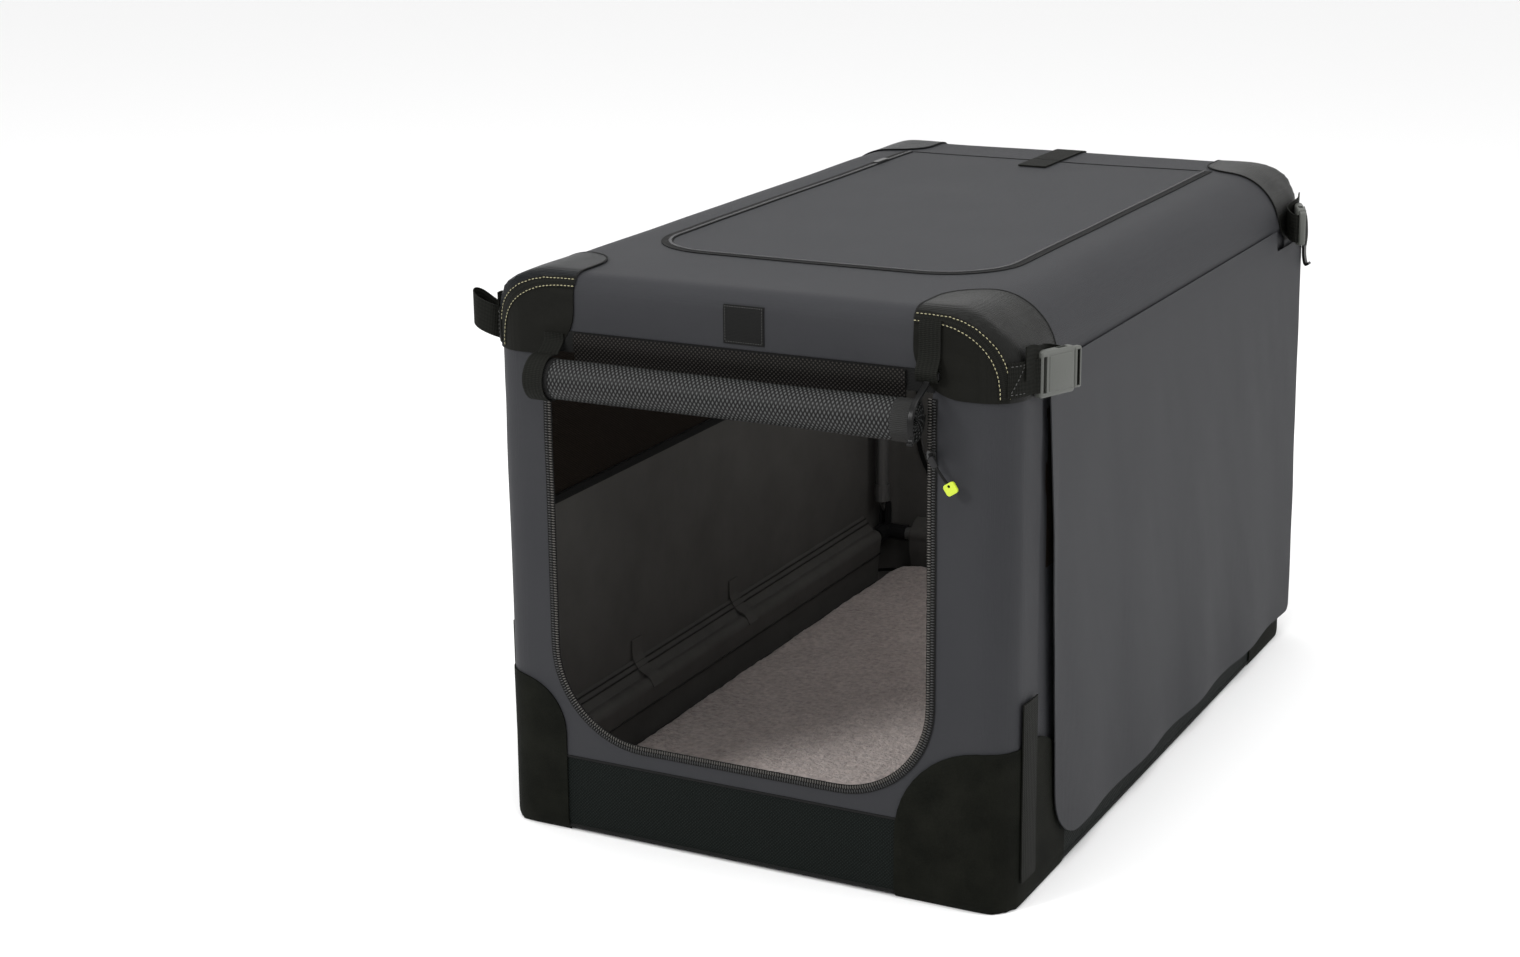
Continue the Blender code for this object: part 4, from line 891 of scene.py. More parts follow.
def arch_line(inset):
    """From the patch's foot at the corner up to the edge of the roof, as (along, height)."""
    turns = [radians(ARCH_START + (90 - ARCH_START) * step / ARCH_STEPS) for step in range(ARCH_STEPS + 1)]
    return [(PATCH_IN + (ARCH[0] - inset) * cos(turn) ** (2 / ARCH_FULLNESS),
             PATCH_LOW + (ARCH[1] - inset) * sin(turn) ** (2 / ARCH_FULLNESS)) for turn in turns]


INSETS = (0.0, SEAM_BAND * 0.82, SEAM_BAND / 2 - 0.001)
for side, end in CORNERS:
    corner = CORNER_NAMES[side, end]
    rows = []
    for inset in INSETS:
        rows.append([on_cover(round_corner(side, end, along, z))[0] for along, z in arch_line(inset)])
    band = ribbon("seam_band_" + corner, rows[2], SEAM_BAND, BAND, LIFT, 3)
    dress(smooth(band, TAPE_BEND), webbing, "webbing")
    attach(band, "top_frame")
    for row, name in ((rows[0], "outer"), (rows[1], "inner")):
        stitches = sewn(f"seam_{name}_{corner}", row, STITCH_PITCH, STITCH, LIFT + STITCH_LIFT)
        dress(stitches, thread, "webbing")
        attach(stitches, "top_frame")

# Turned-in edge of each top patch: the cloth is folded under where the patch lies on the roof, and
# the fold shows as a narrow raised line, sewn down
EDGE_WIDTH, EDGE, EDGE_SUNK = 0.0024, 0.0007, 0.0004
edge_plan = [(PATCH_IN, 0.002, HEIGHT - 0.012), (PATCH_IN, 0.020, HEIGHT)]
edge_centre = (PATCH_IN + PATCH_RADIUS, PATCH_BACK - PATCH_RADIUS)
edge_plan += [(x, y, HEIGHT) for x, y in arc(edge_centre, PATCH_RADIUS, 180, 90)]
edge_plan += [(HALF, PATCH_BACK, HEIGHT - 0.040), (HALF, PATCH_BACK, HEIGHT - 0.060)]
for side, end in CORNERS:
    inward = 1 if end == FRONT else -1
    edge_line = [on_cover((side * x, end + inward * y, z))[0] for x, y, z in edge_plan]
    edge = ribbon("top_patch_edge_" + CORNER_NAMES[side, end], edge_line, EDGE_WIDTH, EDGE,
                  LIFT - EDGE_SUNK, 2)
    dress(smooth(edge, TAPE_BEND), black_tape, "webbing")
    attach(edge, "top_frame")

# Upright strips of webbing at the lower corners: each one covers the seam between a panel and a wall,
# and is sewn down over the foot patch
STRIP_WIDTH, STRIP = 0.038, 0.0016
STRIP_BACK, STRIP_LIFT = 0.0525, 0.0012
STRIP_HEIGHTS = (0.030, 0.10, 0.17, 0.238)
for side in (1, -1):
    for end in (FRONT, REAR):
        y = end + (STRIP_BACK if end == FRONT else -STRIP_BACK)
        line = [on_cover((side * HALF, y, z))[0] for z in STRIP_HEIGHTS]
        strip = ribbon("corner_strip_" + CORNER_NAMES[side, end], line, STRIP_WIDTH, STRIP, LIFT + STRIP_LIFT)
        dress(smooth(strip, TAPE_BEND), webbing, "webbing")
        on_base(strip)

# Bound edges: a thick black piping round the foot of the tray, where it wears on the floor, and a
# thinner one in the seam between the skirt and the panels
FOOT_PIPING, SKIRT_PIPING = 0.0032, 0.0016
FOOT_PIPING_Z = 0.0042
BEND_STEPS, SPAN_STEPS = 8, 12
foot_line = []
for side, end, turned in ((1, FRONT, False), (1, REAR, True), (-1, REAR, False), (-1, FRONT, True)):
    bends = [HALF - PLAN_RADIUS + PLAN_RADIUS * pi / 2 * i / BEND_STEPS for i in range(BEND_STEPS + 1)]
    quarter = [round_corner(side, end, along, 0.0) for along in bends]
    foot_line += quarter[::-1] if turned else quarter
for name, z, radius, sunk in (("foot_piping", FOOT_PIPING_Z, FOOT_PIPING, 0.4),
                              ("skirt_piping", SKIRT, SKIRT_PIPING, 0.1)):
    points = foot_line + foot_line[:1]
    dense = [a + (b - a) * i / SPAN_STEPS for a, b in zip(points, points[1:]) for i in range(SPAN_STEPS)]
    curve = bpy.data.curves.new(name, "CURVE")
    curve.dimensions = "3D"
    curve.bevel_depth = radius
    curve.bevel_resolution = 2
    line = curve.splines.new("POLY")
    line.points.add(len(dense) - 1)
    for point, place in zip(line.points, dense):
        point.co = (*on_cover((place.x, place.y, z), -radius * sunk)[0], 1)
    line.use_cyclic_u = True
    piping = bpy.data.objects.new(name, curve)
    bpy.context.scene.collection.objects.link(piping)
    take(piping)
    bpy.ops.object.convert(target="MESH")
    piping = smooth(name_it(bpy.context.object, name), TAPE_BEND)
    dress(piping, black_tape, "webbing")
    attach(piping, "base")

# Door zips: black tape sewn round each doorway, with two chains of moulded teeth on it. The outer
# chain belongs to the panel and the inner one to the door. The inner chain's lighter grey-brown colour
# is a painted highlight
TAPE_WIDTH = 0.0105
ZIP_TAPE, ZIP_TAPE_LIFT = 0.0010, 0.0004
TOOTH_LIFT = 0.0018
ZIP_HIGH = PATCH_LOW - 0.001
TOOTH = (0.0018, 0.0056, 0.0018)
TOOTH_PITCH = 0.0031
# Painted highlight: the inner chain's teeth are a lighter grey-brown than the black outer chain
tooth_plastic_painted_highlight = grained("tooth_plastic_painted_highlight", (0.050, 0.046, 0.040), 0.40, 300.0)


def zip_line(end, grow):
    """Down the left of a doorway, under it and up its right, as places on the cover."""
    radius, low = DOOR_RADIUS + grow, DOOR_FOOT + DOOR_RADIUS
    flat = [(DOOR_LEFT - grow, ZIP_HIGH)] + arc((DOOR_LEFT + DOOR_RADIUS, low), radius, 180, 270)
    flat += arc((DOOR_RIGHT - DOOR_RADIUS, low), radius, 270, 360) + [(DOOR_RIGHT + grow, ZIP_HIGH)]
    return [Vector((x, end, z)) for x, z in flat]


for end, node, middle in ((FRONT, "door_zip", 0.0), (REAR, "rear_zip", 0.0055)):
    tape = ribbon(node + "_tape", zip_line(end, middle), TAPE_WIDTH, ZIP_TAPE, ZIP_TAPE_LIFT, 3)
    dress(smooth(tape, TAPE_BEND), black_tape, "zip_plastic")
    on_base(tape)
    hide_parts(node)
    for row, shift in (("outer", 0.0019), ("inner", -0.0026)):
        teeth = sewn(f"{node}_teeth_{row}", zip_line(end, middle + shift), TOOTH_PITCH, TOOTH, TOOTH_LIFT)
        dress(teeth, tooth_plastic_painted_highlight if row == "inner" else zip_plastic, "zip_plastic")
        on_base(teeth)

# Rolled-up front door: one sheet of black mesh wound in an open spiral under the header, with its ends
# bound. The mesh's knots are painted lighter, as a painted highlight. The last of it runs up to the header,
# where it is sewn in, and is given a darker copy of the mesh finish as painted shade
ROLL_LOW, ROLL_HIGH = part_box("door_roll")
ROLL_RADIUS = 0.0245
ROLL_CORE = 0.0040
ROLL_CLOTH = 0.0022
ROLL_TURNS = 5.0
ROLL_Y, ROLL_Z = ROLL_LOW.y + ROLL_RADIUS, ROLL_LOW.z + ROLL_RADIUS
ROLL_INSET = 0.0195
ROLL_RIGHT = ROLL_HIGH.x - ROLL_INSET
ROLL_WIDE = ROLL_RIGHT - ROLL_LOW.x
ROLL_LONG = 0.43
LEFT_BINDING, RIGHT_BINDING = 0.032, 0.020
BOUND, BOUND_LIFT, BOUND_OVER = 0.0011, 0.0013, 0.0006
BOUND_TURNS, BOUND_LONG = 1.1, 0.16
TAIL_LEFT, TAIL_RIGHT = -0.206, 0.198
TAIL = 0.0018
HEADER_DROP, HEADER_WIDTH = 0.0045, 0.024
NET_CELL, NET_DEEP = 0.0050, 0.0006


def flowing(points, steps=6):
    """A smooth line through points."""
    points = [Vector(point) for point in points]
    ends = [points[0] * 2 - points[1]] + points + [points[-1] * 2 - points[-2]]
    line = []
    for a, b, c, d in zip(ends, ends[1:], ends[2:], ends[3:]):
        for i in range(steps):
            t = i / steps
            line.append(0.5 * (2 * b + (c - a) * t + (2 * a - 5 * b + 4 * c - d) * t * t
                               + (3 * b - a - 3 * c + d) * t ** 3))
    return line + [points[-1]]


def strap(name, line, across, width, thickness, rows=4):
    """A strap that follows a line in space, its width along a fixed direction."""
    across = Vector(across)
    size = (length_of(line), width)
    columns = max(6, round(size[0] / STRAP_STEP))
    return lay(name, lambda u, v: along_line(line, u)[0] + across * width * (v - 0.5), columns, rows, size,
               thickness)


def netting(name, colour, roughness, shine, gap, knot_painted_highlight):
    """Knitted mesh in diamond cells, laid along its sheet's own UV map. Its knots take a lighter colour, as a
    painted highlight.
    """
    net = Finish(name, colour, roughness, Specular_IOR_Level=shine)
    along, across = net.strip_place()
    cell = (along + across).wave(NET_CELL) * (along - across).wave(NET_CELL)
    net.feed(Base_Color=net.mix(cell, gap, knot_painted_highlight))
    net.relief(cell, NET_DEEP)
    return net


roll_mesh = netting("roll_mesh", (0.012, 0.013, 0.013), 0.5, 0.12, (0.0012, 0.0013, 0.0012),
                    (0.075, 0.077, 0.076))
# Painted shade: the length under the header gets a darker copy of the roll's mesh finish
tail_mesh_painted_shade = netting("door_head_mesh_painted_shade", (0.012, 0.011, 0.010), 0.6, 0.08, (0.0012, 0.0011, 0.0010),
                    (0.030, 0.027, 0.024))
ribbed = Finish("ribbed_binding", (0.0085, 0.0085, 0.0080), 0.55, Specular_IOR_Level=0.2)
ribbed.relief(ribbed.strip_place()[1].wave(0.0021), 0.0006)


def roll_place(x, turns, lift=0.0):
    """A place on the roll after so many turns from its core, a little uneven along its length."""
    uneven = 0.0010 * noise.noise(Vector((x * 9, turns * 0.7, 3.0)))
    radius = ROLL_CORE + (ROLL_RADIUS - ROLL_CLOTH / 2 - ROLL_CORE) * turns / ROLL_TURNS + lift
    turn = 2 * pi * turns
    return Vector((x, ROLL_Y + (radius + uneven) * cos(turn), ROLL_Z + (radius + uneven) * sin(turn)))


roll = lay("door_roll_mesh", lambda u, v: roll_place(ROLL_LOW.x + ROLL_WIDE * u, ROLL_TURNS * v), 60, 200,
           (ROLL_WIDE, ROLL_LONG), ROLL_CLOTH)
dress(smooth(roll), roll_mesh, "black_mesh")
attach(roll, "top_frame")
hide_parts("door_roll")
cloth(roll, (ROLL_WIDE, ROLL_LONG), "folded")
for name, start, width, finish in (
    ("left", ROLL_LOW.x - BOUND_OVER, LEFT_BINDING, black_tape),
    ("right", ROLL_RIGHT + BOUND_OVER - RIGHT_BINDING, RIGHT_BINDING, ribbed),
):
    def bound_place(u, v):
        return roll_place(start + width * u, ROLL_TURNS - BOUND_TURNS + BOUND_TURNS * v, BOUND_LIFT)

    bound = lay("roll_binding_" + name, bound_place, 6, 60, (width, BOUND_LONG), BOUND)
    dress(smooth(bound), finish, "webbing")
    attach(bound, "top_frame")
roll_back = ROLL_Y + ROLL_RADIUS
tail_line = flowing([(0, roll_back - 0.0012, ROLL_Z), (0, roll_back - 0.0006, ROLL_Z + 0.020),
                     (0, FRONT - 0.0030, SEAM - 0.006), (0, FRONT - 0.0026, SEAM + 0.006)])
tail_middle = Vector(((TAIL_LEFT + TAIL_RIGHT) / 2, 0, 0))
tail = strap("door_roll_tail", [point + tail_middle for point in tail_line], (1, 0, 0),
             TAIL_RIGHT - TAIL_LEFT, TAIL, 40)
dress(smooth(tail), tail_mesh_painted_shade, "black_mesh")
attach(tail, "top_frame")
cloth(tail, (TAIL_RIGHT - TAIL_LEFT, length_of(tail_line)))
header_line = [Vector((x / 100, FRONT, SEAM - HEADER_DROP)) for x in range(-25, 24, 2)]
header = ribbon("header_binding", header_line, HEADER_WIDTH, ZIP_TAPE, ZIP_TAPE_LIFT, 3)
dress(smooth(header, TAPE_BEND), black_tape, "webbing")
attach(header, "top_frame")

# Roll strap: webbing sewn to the top right corner, with a moulded snap hook that carries the roll. A
# plain webbing loop, sewn to the header, holds the roll's left end


def rim_block(name, low, high, radius, segments=3):
    """A moulded block with its edges rounded."""
    piece = block(name, low, high)
    return modify(piece, "BEVEL", width=radius, segments=segments, limit_method="NONE")


def middle_of(node):
    """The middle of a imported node, as x, y and z."""
    return [sum(ends) / 2 for ends in zip(*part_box(node))]


def arc_round(middle, radius, turns):
    """Flat points round a middle at these turns in degrees."""
    wide, high = radius if isinstance(radius, tuple) else (radius, radius)
    return [(middle[0] + wide * cos(radians(turn)), middle[1] + high * sin(radians(turn))) for turn in turns]


HOOK_X = middle_of("roll_hook")[0]
HOOK_OFF, LOOP_OFF = 0.0030, 0.0014
HOOK_WIDTH, HOOK, HOOK_EDGE = 0.0070, 0.0034, 0.0009
BAR_HALF = (0.0132, 0.0026, 0.0040)
BAR_EDGE = 0.0014
ROLL_STRAP_WIDTH, ROLL_STRAP = 0.025, 0.0013
bar_y, bar_z = FRONT - 0.0079, HEIGHT - 0.0685
strap_side = [(FRONT - 0.0016, HEIGHT - 0.0105), (FRONT - 0.0034, HEIGHT - 0.020),
              (FRONT - 0.0042, HEIGHT - 0.048), (bar_y - 0.0042, bar_z + 0.006),
              (bar_y - 0.0048, bar_z), (bar_y - 0.002, bar_z - 0.0062),
              (bar_y + 0.002, bar_z - 0.0062), (bar_y + 0.0036, bar_z), (bar_y + 0.0040, bar_z + 0.012),
              (FRONT - 0.0030, HEIGHT - 0.045)]
hook_line = flowing([(HOOK_X, y, z) for y, z in strap_side])
roll_strap = strap("roll_strap_webbing", hook_line, (1, 0, 0), ROLL_STRAP_WIDTH, ROLL_STRAP)
dress(smooth(roll_strap, TAPE_BEND), webbing, "webbing")
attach(roll_strap, "top_frame")
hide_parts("roll_strap")
hook_radius = ROLL_RADIUS + HOOK_OFF
hook_curve = [(HOOK_X, bar_y, bar_z - 0.001), (HOOK_X, bar_y - 0.0040, bar_z - 0.009)]
hook_curve += [(HOOK_X, y, z) for y, z in arc_round((ROLL_Y, ROLL_Z), hook_radius, range(112, 209, 12))]
hook_curve += [(HOOK_X, ROLL_Y - hook_radius * 0.99, ROLL_Z - 0.018)]
hook_curve += [(HOOK_X, ROLL_Y - hook_radius * 1.09, ROLL_Z - 0.0185)]
hook = strap("roll_hook_moulding", flowing(hook_curve), (1, 0, 0), HOOK_WIDTH, HOOK, 4)
modify(hook, "BEVEL", width=HOOK_EDGE, segments=2, limit_method="ANGLE")
bar_low = (HOOK_X - BAR_HALF[0], bar_y - BAR_HALF[1], bar_z - BAR_HALF[2])
bar_high = (HOOK_X + BAR_HALF[0], bar_y + BAR_HALF[1], bar_z + BAR_HALF[2])
shape_by(hook, rim_block("bar", bar_low, bar_high, BAR_EDGE), "UNION")
hook_plastic = grained("hook_plastic", (0.0055, 0.0055, 0.0055), 0.30, 400.0, Specular_IOR_Level=0.12)
HOOK_BEND = 50
dress(smooth(hook, HOOK_BEND), hook_plastic, "joint_plastic")
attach(hook, "roll_hook")
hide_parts("roll_hook")
LOOP_X = middle_of("roll_loop")[0]
loop_points = [(LOOP_X, FRONT - 0.0026, SEAM + 0.004), (LOOP_X, FRONT - 0.0034, SEAM - 0.005)]
loop_turns = arc_round((ROLL_Y, ROLL_Z), ROLL_RADIUS + LOOP_OFF, range(72, 290, 12))
loop_points += [(LOOP_X, y, z) for y, z in loop_turns]
roll_loop = strap("roll_loop_webbing", flowing(loop_points), (1, 0, 0), ROLL_STRAP_WIDTH, ROLL_STRAP)
dress(smooth(roll_loop, TAPE_BEND), webbing, "webbing")
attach(roll_loop, "top_frame")
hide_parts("roll_loop")

# Curtains of the grey cloth over the side windows, sewn in under the hood's edge. They are flat at the
# seam, slack in broad upright folds below it, and notched where the corner straps pass
CURTAIN = 0.0014
CURTAIN_TOP = HEIGHT - 0.077
CURTAIN_LOW = 0.034
CURTAIN_SEAM = 0.0012
CURTAIN_STAND = 0.0032
CURTAIN_FLAT, CURTAIN_GRID = (0.955, 0.565), (150, 84)
CURTAIN_LAP = 0.005
NOTCH_LONG, NOTCH_RADIUS = 0.125, 0.006
NOTCH_Z = HEIGHT - 0.099
CURTAIN_FRONT, CURTAIN_HEM, CURTAIN_REAR = FRONT + 0.089, FRONT + 0.132, REAR - 0.010
lap_z = CURTAIN_TOP + CURTAIN_LAP
curtain_cut = rounded([
    (FRONT + NOTCH_LONG, lap_z, 0), (FRONT + NOTCH_LONG, NOTCH_Z, NOTCH_RADIUS),
    (CURTAIN_FRONT, NOTCH_Z, NOTCH_RADIUS), (CURTAIN_HEM, CURTAIN_LOW, 0.070),
    (CURTAIN_REAR, CURTAIN_LOW, 0.012), (CURTAIN_REAR, NOTCH_Z, NOTCH_RADIUS),
    (REAR - NOTCH_LONG, NOTCH_Z, NOTCH_RADIUS), (REAR - NOTCH_LONG, lap_z, 0)])


def curtain_place(side, u, v):
    """Out from the wall: flat along the seam, in slack folds that deepen towards the hem."""
    y = FRONT + 0.080 + (REAR - FRONT - 0.082) * u
    z = CURTAIN_TOP + 0.008 - (CURTAIN_TOP - CURTAIN_LOW + 0.013) * v
    down = v ** 1.3
    broad = (1 - cos(2 * pi * 4.5 * (u + 0.02 * sin(5 * v)))) / 2
    soft = noise.noise(Vector((side, y * 6.5, z * 2.2))) * 0.5 + 0.5
    fine = noise.noise(Vector((side * 3, y * 22 + z * 9, z * 8)))
    front_lip = 0.0055 * max(0.0, 1 - (y - FRONT - 0.085) / 0.035) * min(1.0, 3 * v)
    out = 0.0046 * down * broad + 0.0035 * down * soft + 0.0007 * fine * min(1.0, 4 * v) + front_lip
    stand = CURTAIN_SEAM + (CURTAIN_STAND - CURTAIN_SEAM) * min(1.0, 16 * v)
    return Vector((side * (HALF + stand + out), y, z))


for side, name in ((1, "right"), (-1, "left")):
    curtain = lay(f"curtain_{name}_cloth", lambda u, v: curtain_place(side, u, v), *CURTAIN_GRID,
                  CURTAIN_FLAT, CURTAIN)
    edge = prism("outline", curtain_cut, *sorted((side * (HALF - ROOM), side * (HALF + ROOM))), "X")
    shape_by(curtain, edge, "INTERSECT")
    dress(smooth(curtain), (grey_cloth, lining), "grey_cloth")
    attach(curtain, "curtain_" + name)
    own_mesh(curtain)
    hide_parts("curtain_" + name)
    cloth(curtain, CURTAIN_FLAT, "hung")

# Fleece mat: a thick pad with a deep taupe pile, which lies loose in the tray and fills it. Its corners
# are round, and its edge turns down to the floor
MAT_LOW, MAT_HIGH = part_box("fleece_mat")
MAT_STEP = 0.0042
MAT_CORNER = 0.055
fleece = Finish("taupe_fleece", (0.42, 0.35, 0.33), 0.95, Sheen_Weight=0.3, Sheen_Roughness=0.6)
fleece_place = fleece.place()[3]
tuft = fleece.cloud(fleece_place, 150.0, 4.0)
shade = fleece.cloud(fleece_place, 12.0, 3.0)
pile_tone = (tuft * 0.75 + shade * 0.25).clamp(0.32, 0.66)
fleece.feed(Base_Color=fleece.mix(pile_tone, (0.28, 0.224, 0.207), (0.54, 0.456, 0.425)))
fleece.relief(fleece.cloud(fleece_place, 220.0, 6.0), 0.0040)
PILE, PILE_SUNK = 0.008, 0.003
MAT_EDGE = 0.026
mat_half = Vector(((MAT_HIGH.x - MAT_LOW.x) / 2 + PILE, (MAT_HIGH.y - MAT_LOW.y) / 2 + PILE))
mat_top = MAT_HIGH.z - PILE_SUNK


def mat_place(u, v):
    """A flat pad with rounded corners in plan and an edge that turns down to the floor."""
    x, y = (2 * u - 1) * mat_half.x, (2 * v - 1) * mat_half.y
    edge = min(mat_half.x - abs(x), mat_half.y - abs(y))
    past = [abs(place) - reach + MAT_CORNER for place, reach in ((x, mat_half.x), (y, mat_half.y))]
    corner = Vector((max(0.0, past[0]), max(0.0, past[1])))
    if corner.x and corner.y:
        square = max(corner.x, corner.y)
        shrink = square / corner.length
        x -= (1 - shrink) * corner.x * (1 if x > 0 else -1)
        y -= (1 - shrink) * corner.y * (1 if y > 0 else -1)
    rise = sin(pi / 2 * min(1.0, edge / MAT_EDGE)) ** 0.7 if edge > 0 else 0.0
    tufts = noise.noise(Vector((x, y, 0)) * 75) * 0.0016 + noise.noise(Vector((x, y, 5)) * 180) * 0.0012
    swell = noise.noise(Vector((x, y, 9)) * 9) * 0.0020
    z = MAT_LOW.z + (mat_top - MAT_LOW.z) * rise + (tufts + swell) * min(1.0, rise * 1.5)
    return Vector((x, y + (MAT_LOW.y + MAT_HIGH.y) / 2, max(MAT_LOW.z, z)))


mat_grid = [round(2 * reach / MAT_STEP) for reach in mat_half]
mat = lay("fleece_mat_pile", mat_place, *mat_grid, (1, 1))
take(mat)
bpy.ops.object.mode_set(mode="EDIT")
bpy.ops.mesh.select_all(action="DESELECT")
bpy.ops.mesh.select_non_manifold()
bpy.ops.mesh.edge_face_add()
MAT_BEND = 80
dress(smooth(face_outwards(mat), MAT_BEND), fleece, "fleece")
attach(mat, "base")
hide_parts("fleece_mat")

# Corner straps: a webbing loop that stands off each top corner and closes in a side-release buckle,
# both halves moulded in light grey plastic
dark_thread = grained("dark_thread", (0.035, 0.035, 0.033), 0.6, 900.0)
BUCKLE_TURN = radians(22.5)
BUCKLE_OUT, BUCKLE_BACK = 0.010, 0.056
STRAP_Z = HEIGHT - 0.070
STRAP_WIDTH = 0.037
SOCKET = Vector((0.040, 0.012, 0.050))
TONGUE = Vector((0.012, 0.0085, 0.045))
JOIN = 0.0004
SHOULDER = 0.011
SLOT_IN, SLOT_WIDE, SLOT_HALF = 0.0032, 0.005, 0.0195
MOUTH_IN, MOUTH_HALF = 0.012, (0.0034, 0.0212)
RELEASE, RELEASE_HALF = (0.0165, 0.031), 0.0030
PLATE, PLATE_PROUD, PLATE_DEEP = (0.0005, 0.0365), 0.0007, 0.002
SOCKET_EDGE, TONGUE_EDGE, FINE_EDGE = 0.0032, 0.0026, 0.0012
TONGUE_SLOT = (0.0042, 0.0086)
PRONG, PRONG_HALF, PRONG_ROOT = 0.023, 0.0022, 0.003
PRONGS = ((-0.0205, -0.0155), (-0.003, 0.003), (0.0155, 0.0205))
STRAP, STRAP_LIFT = 0.0014, 0.0011
STRAP_FEET = (0.309, 0.315, 0.322, 0.329)
BOW = ((0.008, 0.020, 0.004), (0.024, 0.019, 0.010), (0.034, 0.024, 0.015), (0.0355, 0.031, 0.018),
       (0.030, 0.038, 0.015), (0.018, 0.042, 0.006))
TONGUE_FEET = ((0.352, 0.012, 0.0060), (0.340, 0.015, 0.0048), (0.328, 0.016, 0.0040))
SEWN_FEET, SEWN_HALF, SEWN_LIFT = (0.311, 0.319, 0.328), 0.0150, 0.0022
CROSSING_START, CROSSING_LONG, CROSSING_HIGH, CROSSING_STEPS = 0.312, 0.016, 0.028, 6


def buckle_frame(side, end):
    """The buckle's own axes: along it, inwards across it and up."""
    inward = 1 if end == FRONT else -1
    along = Vector((side * sin(BUCKLE_TURN), inward * cos(BUCKLE_TURN), 0))
    across = Vector((-side * cos(BUCKLE_TURN), inward * sin(BUCKLE_TURN), 0))
    turned = Matrix((along, across, Vector((0, 0, 1)))).transposed().to_4x4()
    turned.translation = Vector((side * (HALF + BUCKLE_OUT), end + inward * BUCKLE_BACK, STRAP_Z))
    return turned


for side, end in CORNERS:
    corner = CORNER_NAMES[side, end]
    place = buckle_frame(side, end)
    half = SOCKET / 2
    case = rim_block("buckle_socket_" + corner, (-SHOULDER, -half.y, -half.z), (SOCKET.x, half.y, half.z),
                     SOCKET_EDGE)
    slot = SLOT_IN - SHOULDER
    for name, low, high in (
        ("slot", (slot, -ROOM, -SLOT_HALF), (slot + SLOT_WIDE, ROOM, SLOT_HALF)),
        ("mouth", (MOUTH_IN, -MOUTH_HALF[0], -MOUTH_HALF[1]), (ROOM, MOUTH_HALF[0], MOUTH_HALF[1])),
        ("release", (RELEASE[0], -RELEASE_HALF, -ROOM), (RELEASE[1], RELEASE_HALF, ROOM)),
    ):
        shape_by(case, block(name, low, high), "DIFFERENCE")
    plate = rim_block("plate", (PLATE[0], -half.y - PLATE_PROUD, -SLOT_HALF),
                      (PLATE[1], -half.y + PLATE_DEEP, SLOT_HALF), FINE_EDGE)
    shape_by(case, plate, "UNION")
    case.data.transform(place)
    dress(smooth(face_outwards(case), MOULD_BEND), light_plastic, "buckle_plastic")
    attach(case, "top_frame")

    start = SOCKET.x + JOIN
    tongue = rim_block("buckle_tongue_" + corner + "_plug", (start, -TONGUE.y / 2, -TONGUE.z / 2),
                       (start + TONGUE.x, TONGUE.y / 2, TONGUE.z / 2), TONGUE_EDGE)
    shape_by(tongue, block("slot", (start + TONGUE_SLOT[0], -ROOM, -SLOT_HALF),
                           (start + TONGUE_SLOT[1], ROOM, SLOT_HALF)), "DIFFERENCE")
    for low, high in PRONGS:
        prong = rim_block("prong", (start - PRONG, -PRONG_HALF, low), (start + PRONG_ROOT, PRONG_HALF, high),
                          FINE_EDGE, 2)
        shape_by(tongue, prong, "UNION")
    tongue.data.transform(place)
    dress(smooth(face_outwards(tongue), MOULD_BEND), light_plastic, "buckle_plastic")
    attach(tongue, "tongue_" + corner)
    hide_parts("buckle_tongue_" + corner)

    strand = [on_cover(round_corner(side, end, along, STRAP_Z), LIFT + STRAP_LIFT)[0] for along in STRAP_FEET]
    if (side, end) == (-1, FRONT):
        strand += [Vector((-HALF - out, FRONT + back, STRAP_Z + rise)) for out, back, rise in BOW]
    strand += [place @ Vector(point) for point in (
        (-0.017, -0.0020, 0), (slot - 0.0022, -0.0040, 0), (slot + 0.0022, -0.0024, 0),
        (slot + 0.0028, 0.0010, 0), (slot + 0.0010, 0.0046, 0), (slot - 0.0050, 0.0056, 0),
        (slot - 0.012, 0.0040, 0))]
    outer = strap("strap_" + corner, flowing(strand), (0, 0, 1), STRAP_WIDTH, STRAP)
    dress(smooth(outer, TAPE_BEND), webbing, "webbing")
    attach(outer, "top_frame")
    turn = start + sum(TONGUE_SLOT) / 2
    loop = [place @ Vector(point) for point in (
        (turn + 0.0012, -0.0046, 0), (turn, -0.0014, 0), (turn - 0.0002, 0.0030, 0),
        (turn + 0.0030, 0.0066, 0), (turn - 0.0010, 0.0120, 0.001), (0.034, 0.0165, 0.004),
        (0.018, 0.0160, 0.008))]
    loop += [on_cover(round_corner(side, end, along, STRAP_Z + rise), LIFT + out)[0]
             for along, rise, out in TONGUE_FEET]
    inner = strap("tongue_strap_" + corner, flowing(loop), (0, 0, 1), STRAP_WIDTH, STRAP)
    dress(smooth(inner, TAPE_BEND), webbing, "webbing")
    "tongue_" + corner
    tuple(loop[-1])
    tuple(loop[4])
    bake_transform(inner)
    rows = [[(along, STRAP_Z + shift) for along in SEWN_FEET] for shift in (-SEWN_HALF, SEWN_HALF)]
    rows.append([(CROSSING_START + CROSSING_LONG * t / CROSSING_STEPS,
                  STRAP_Z - CROSSING_HIGH / 2 + CROSSING_HIGH * t / CROSSING_STEPS)
                 for t in range(CROSSING_STEPS + 1)])
    for number, row in enumerate(rows):
        row = [on_cover(round_corner(side, end, along, z))[0] for along, z in row]
        stitches = sewn(f"strap_stitches_{corner}_{number}", row, STITCH_PITCH, STITCH, LIFT + SEWN_LIFT)
        dress(stitches, dark_thread, "webbing")
        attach(stitches, "top_frame")

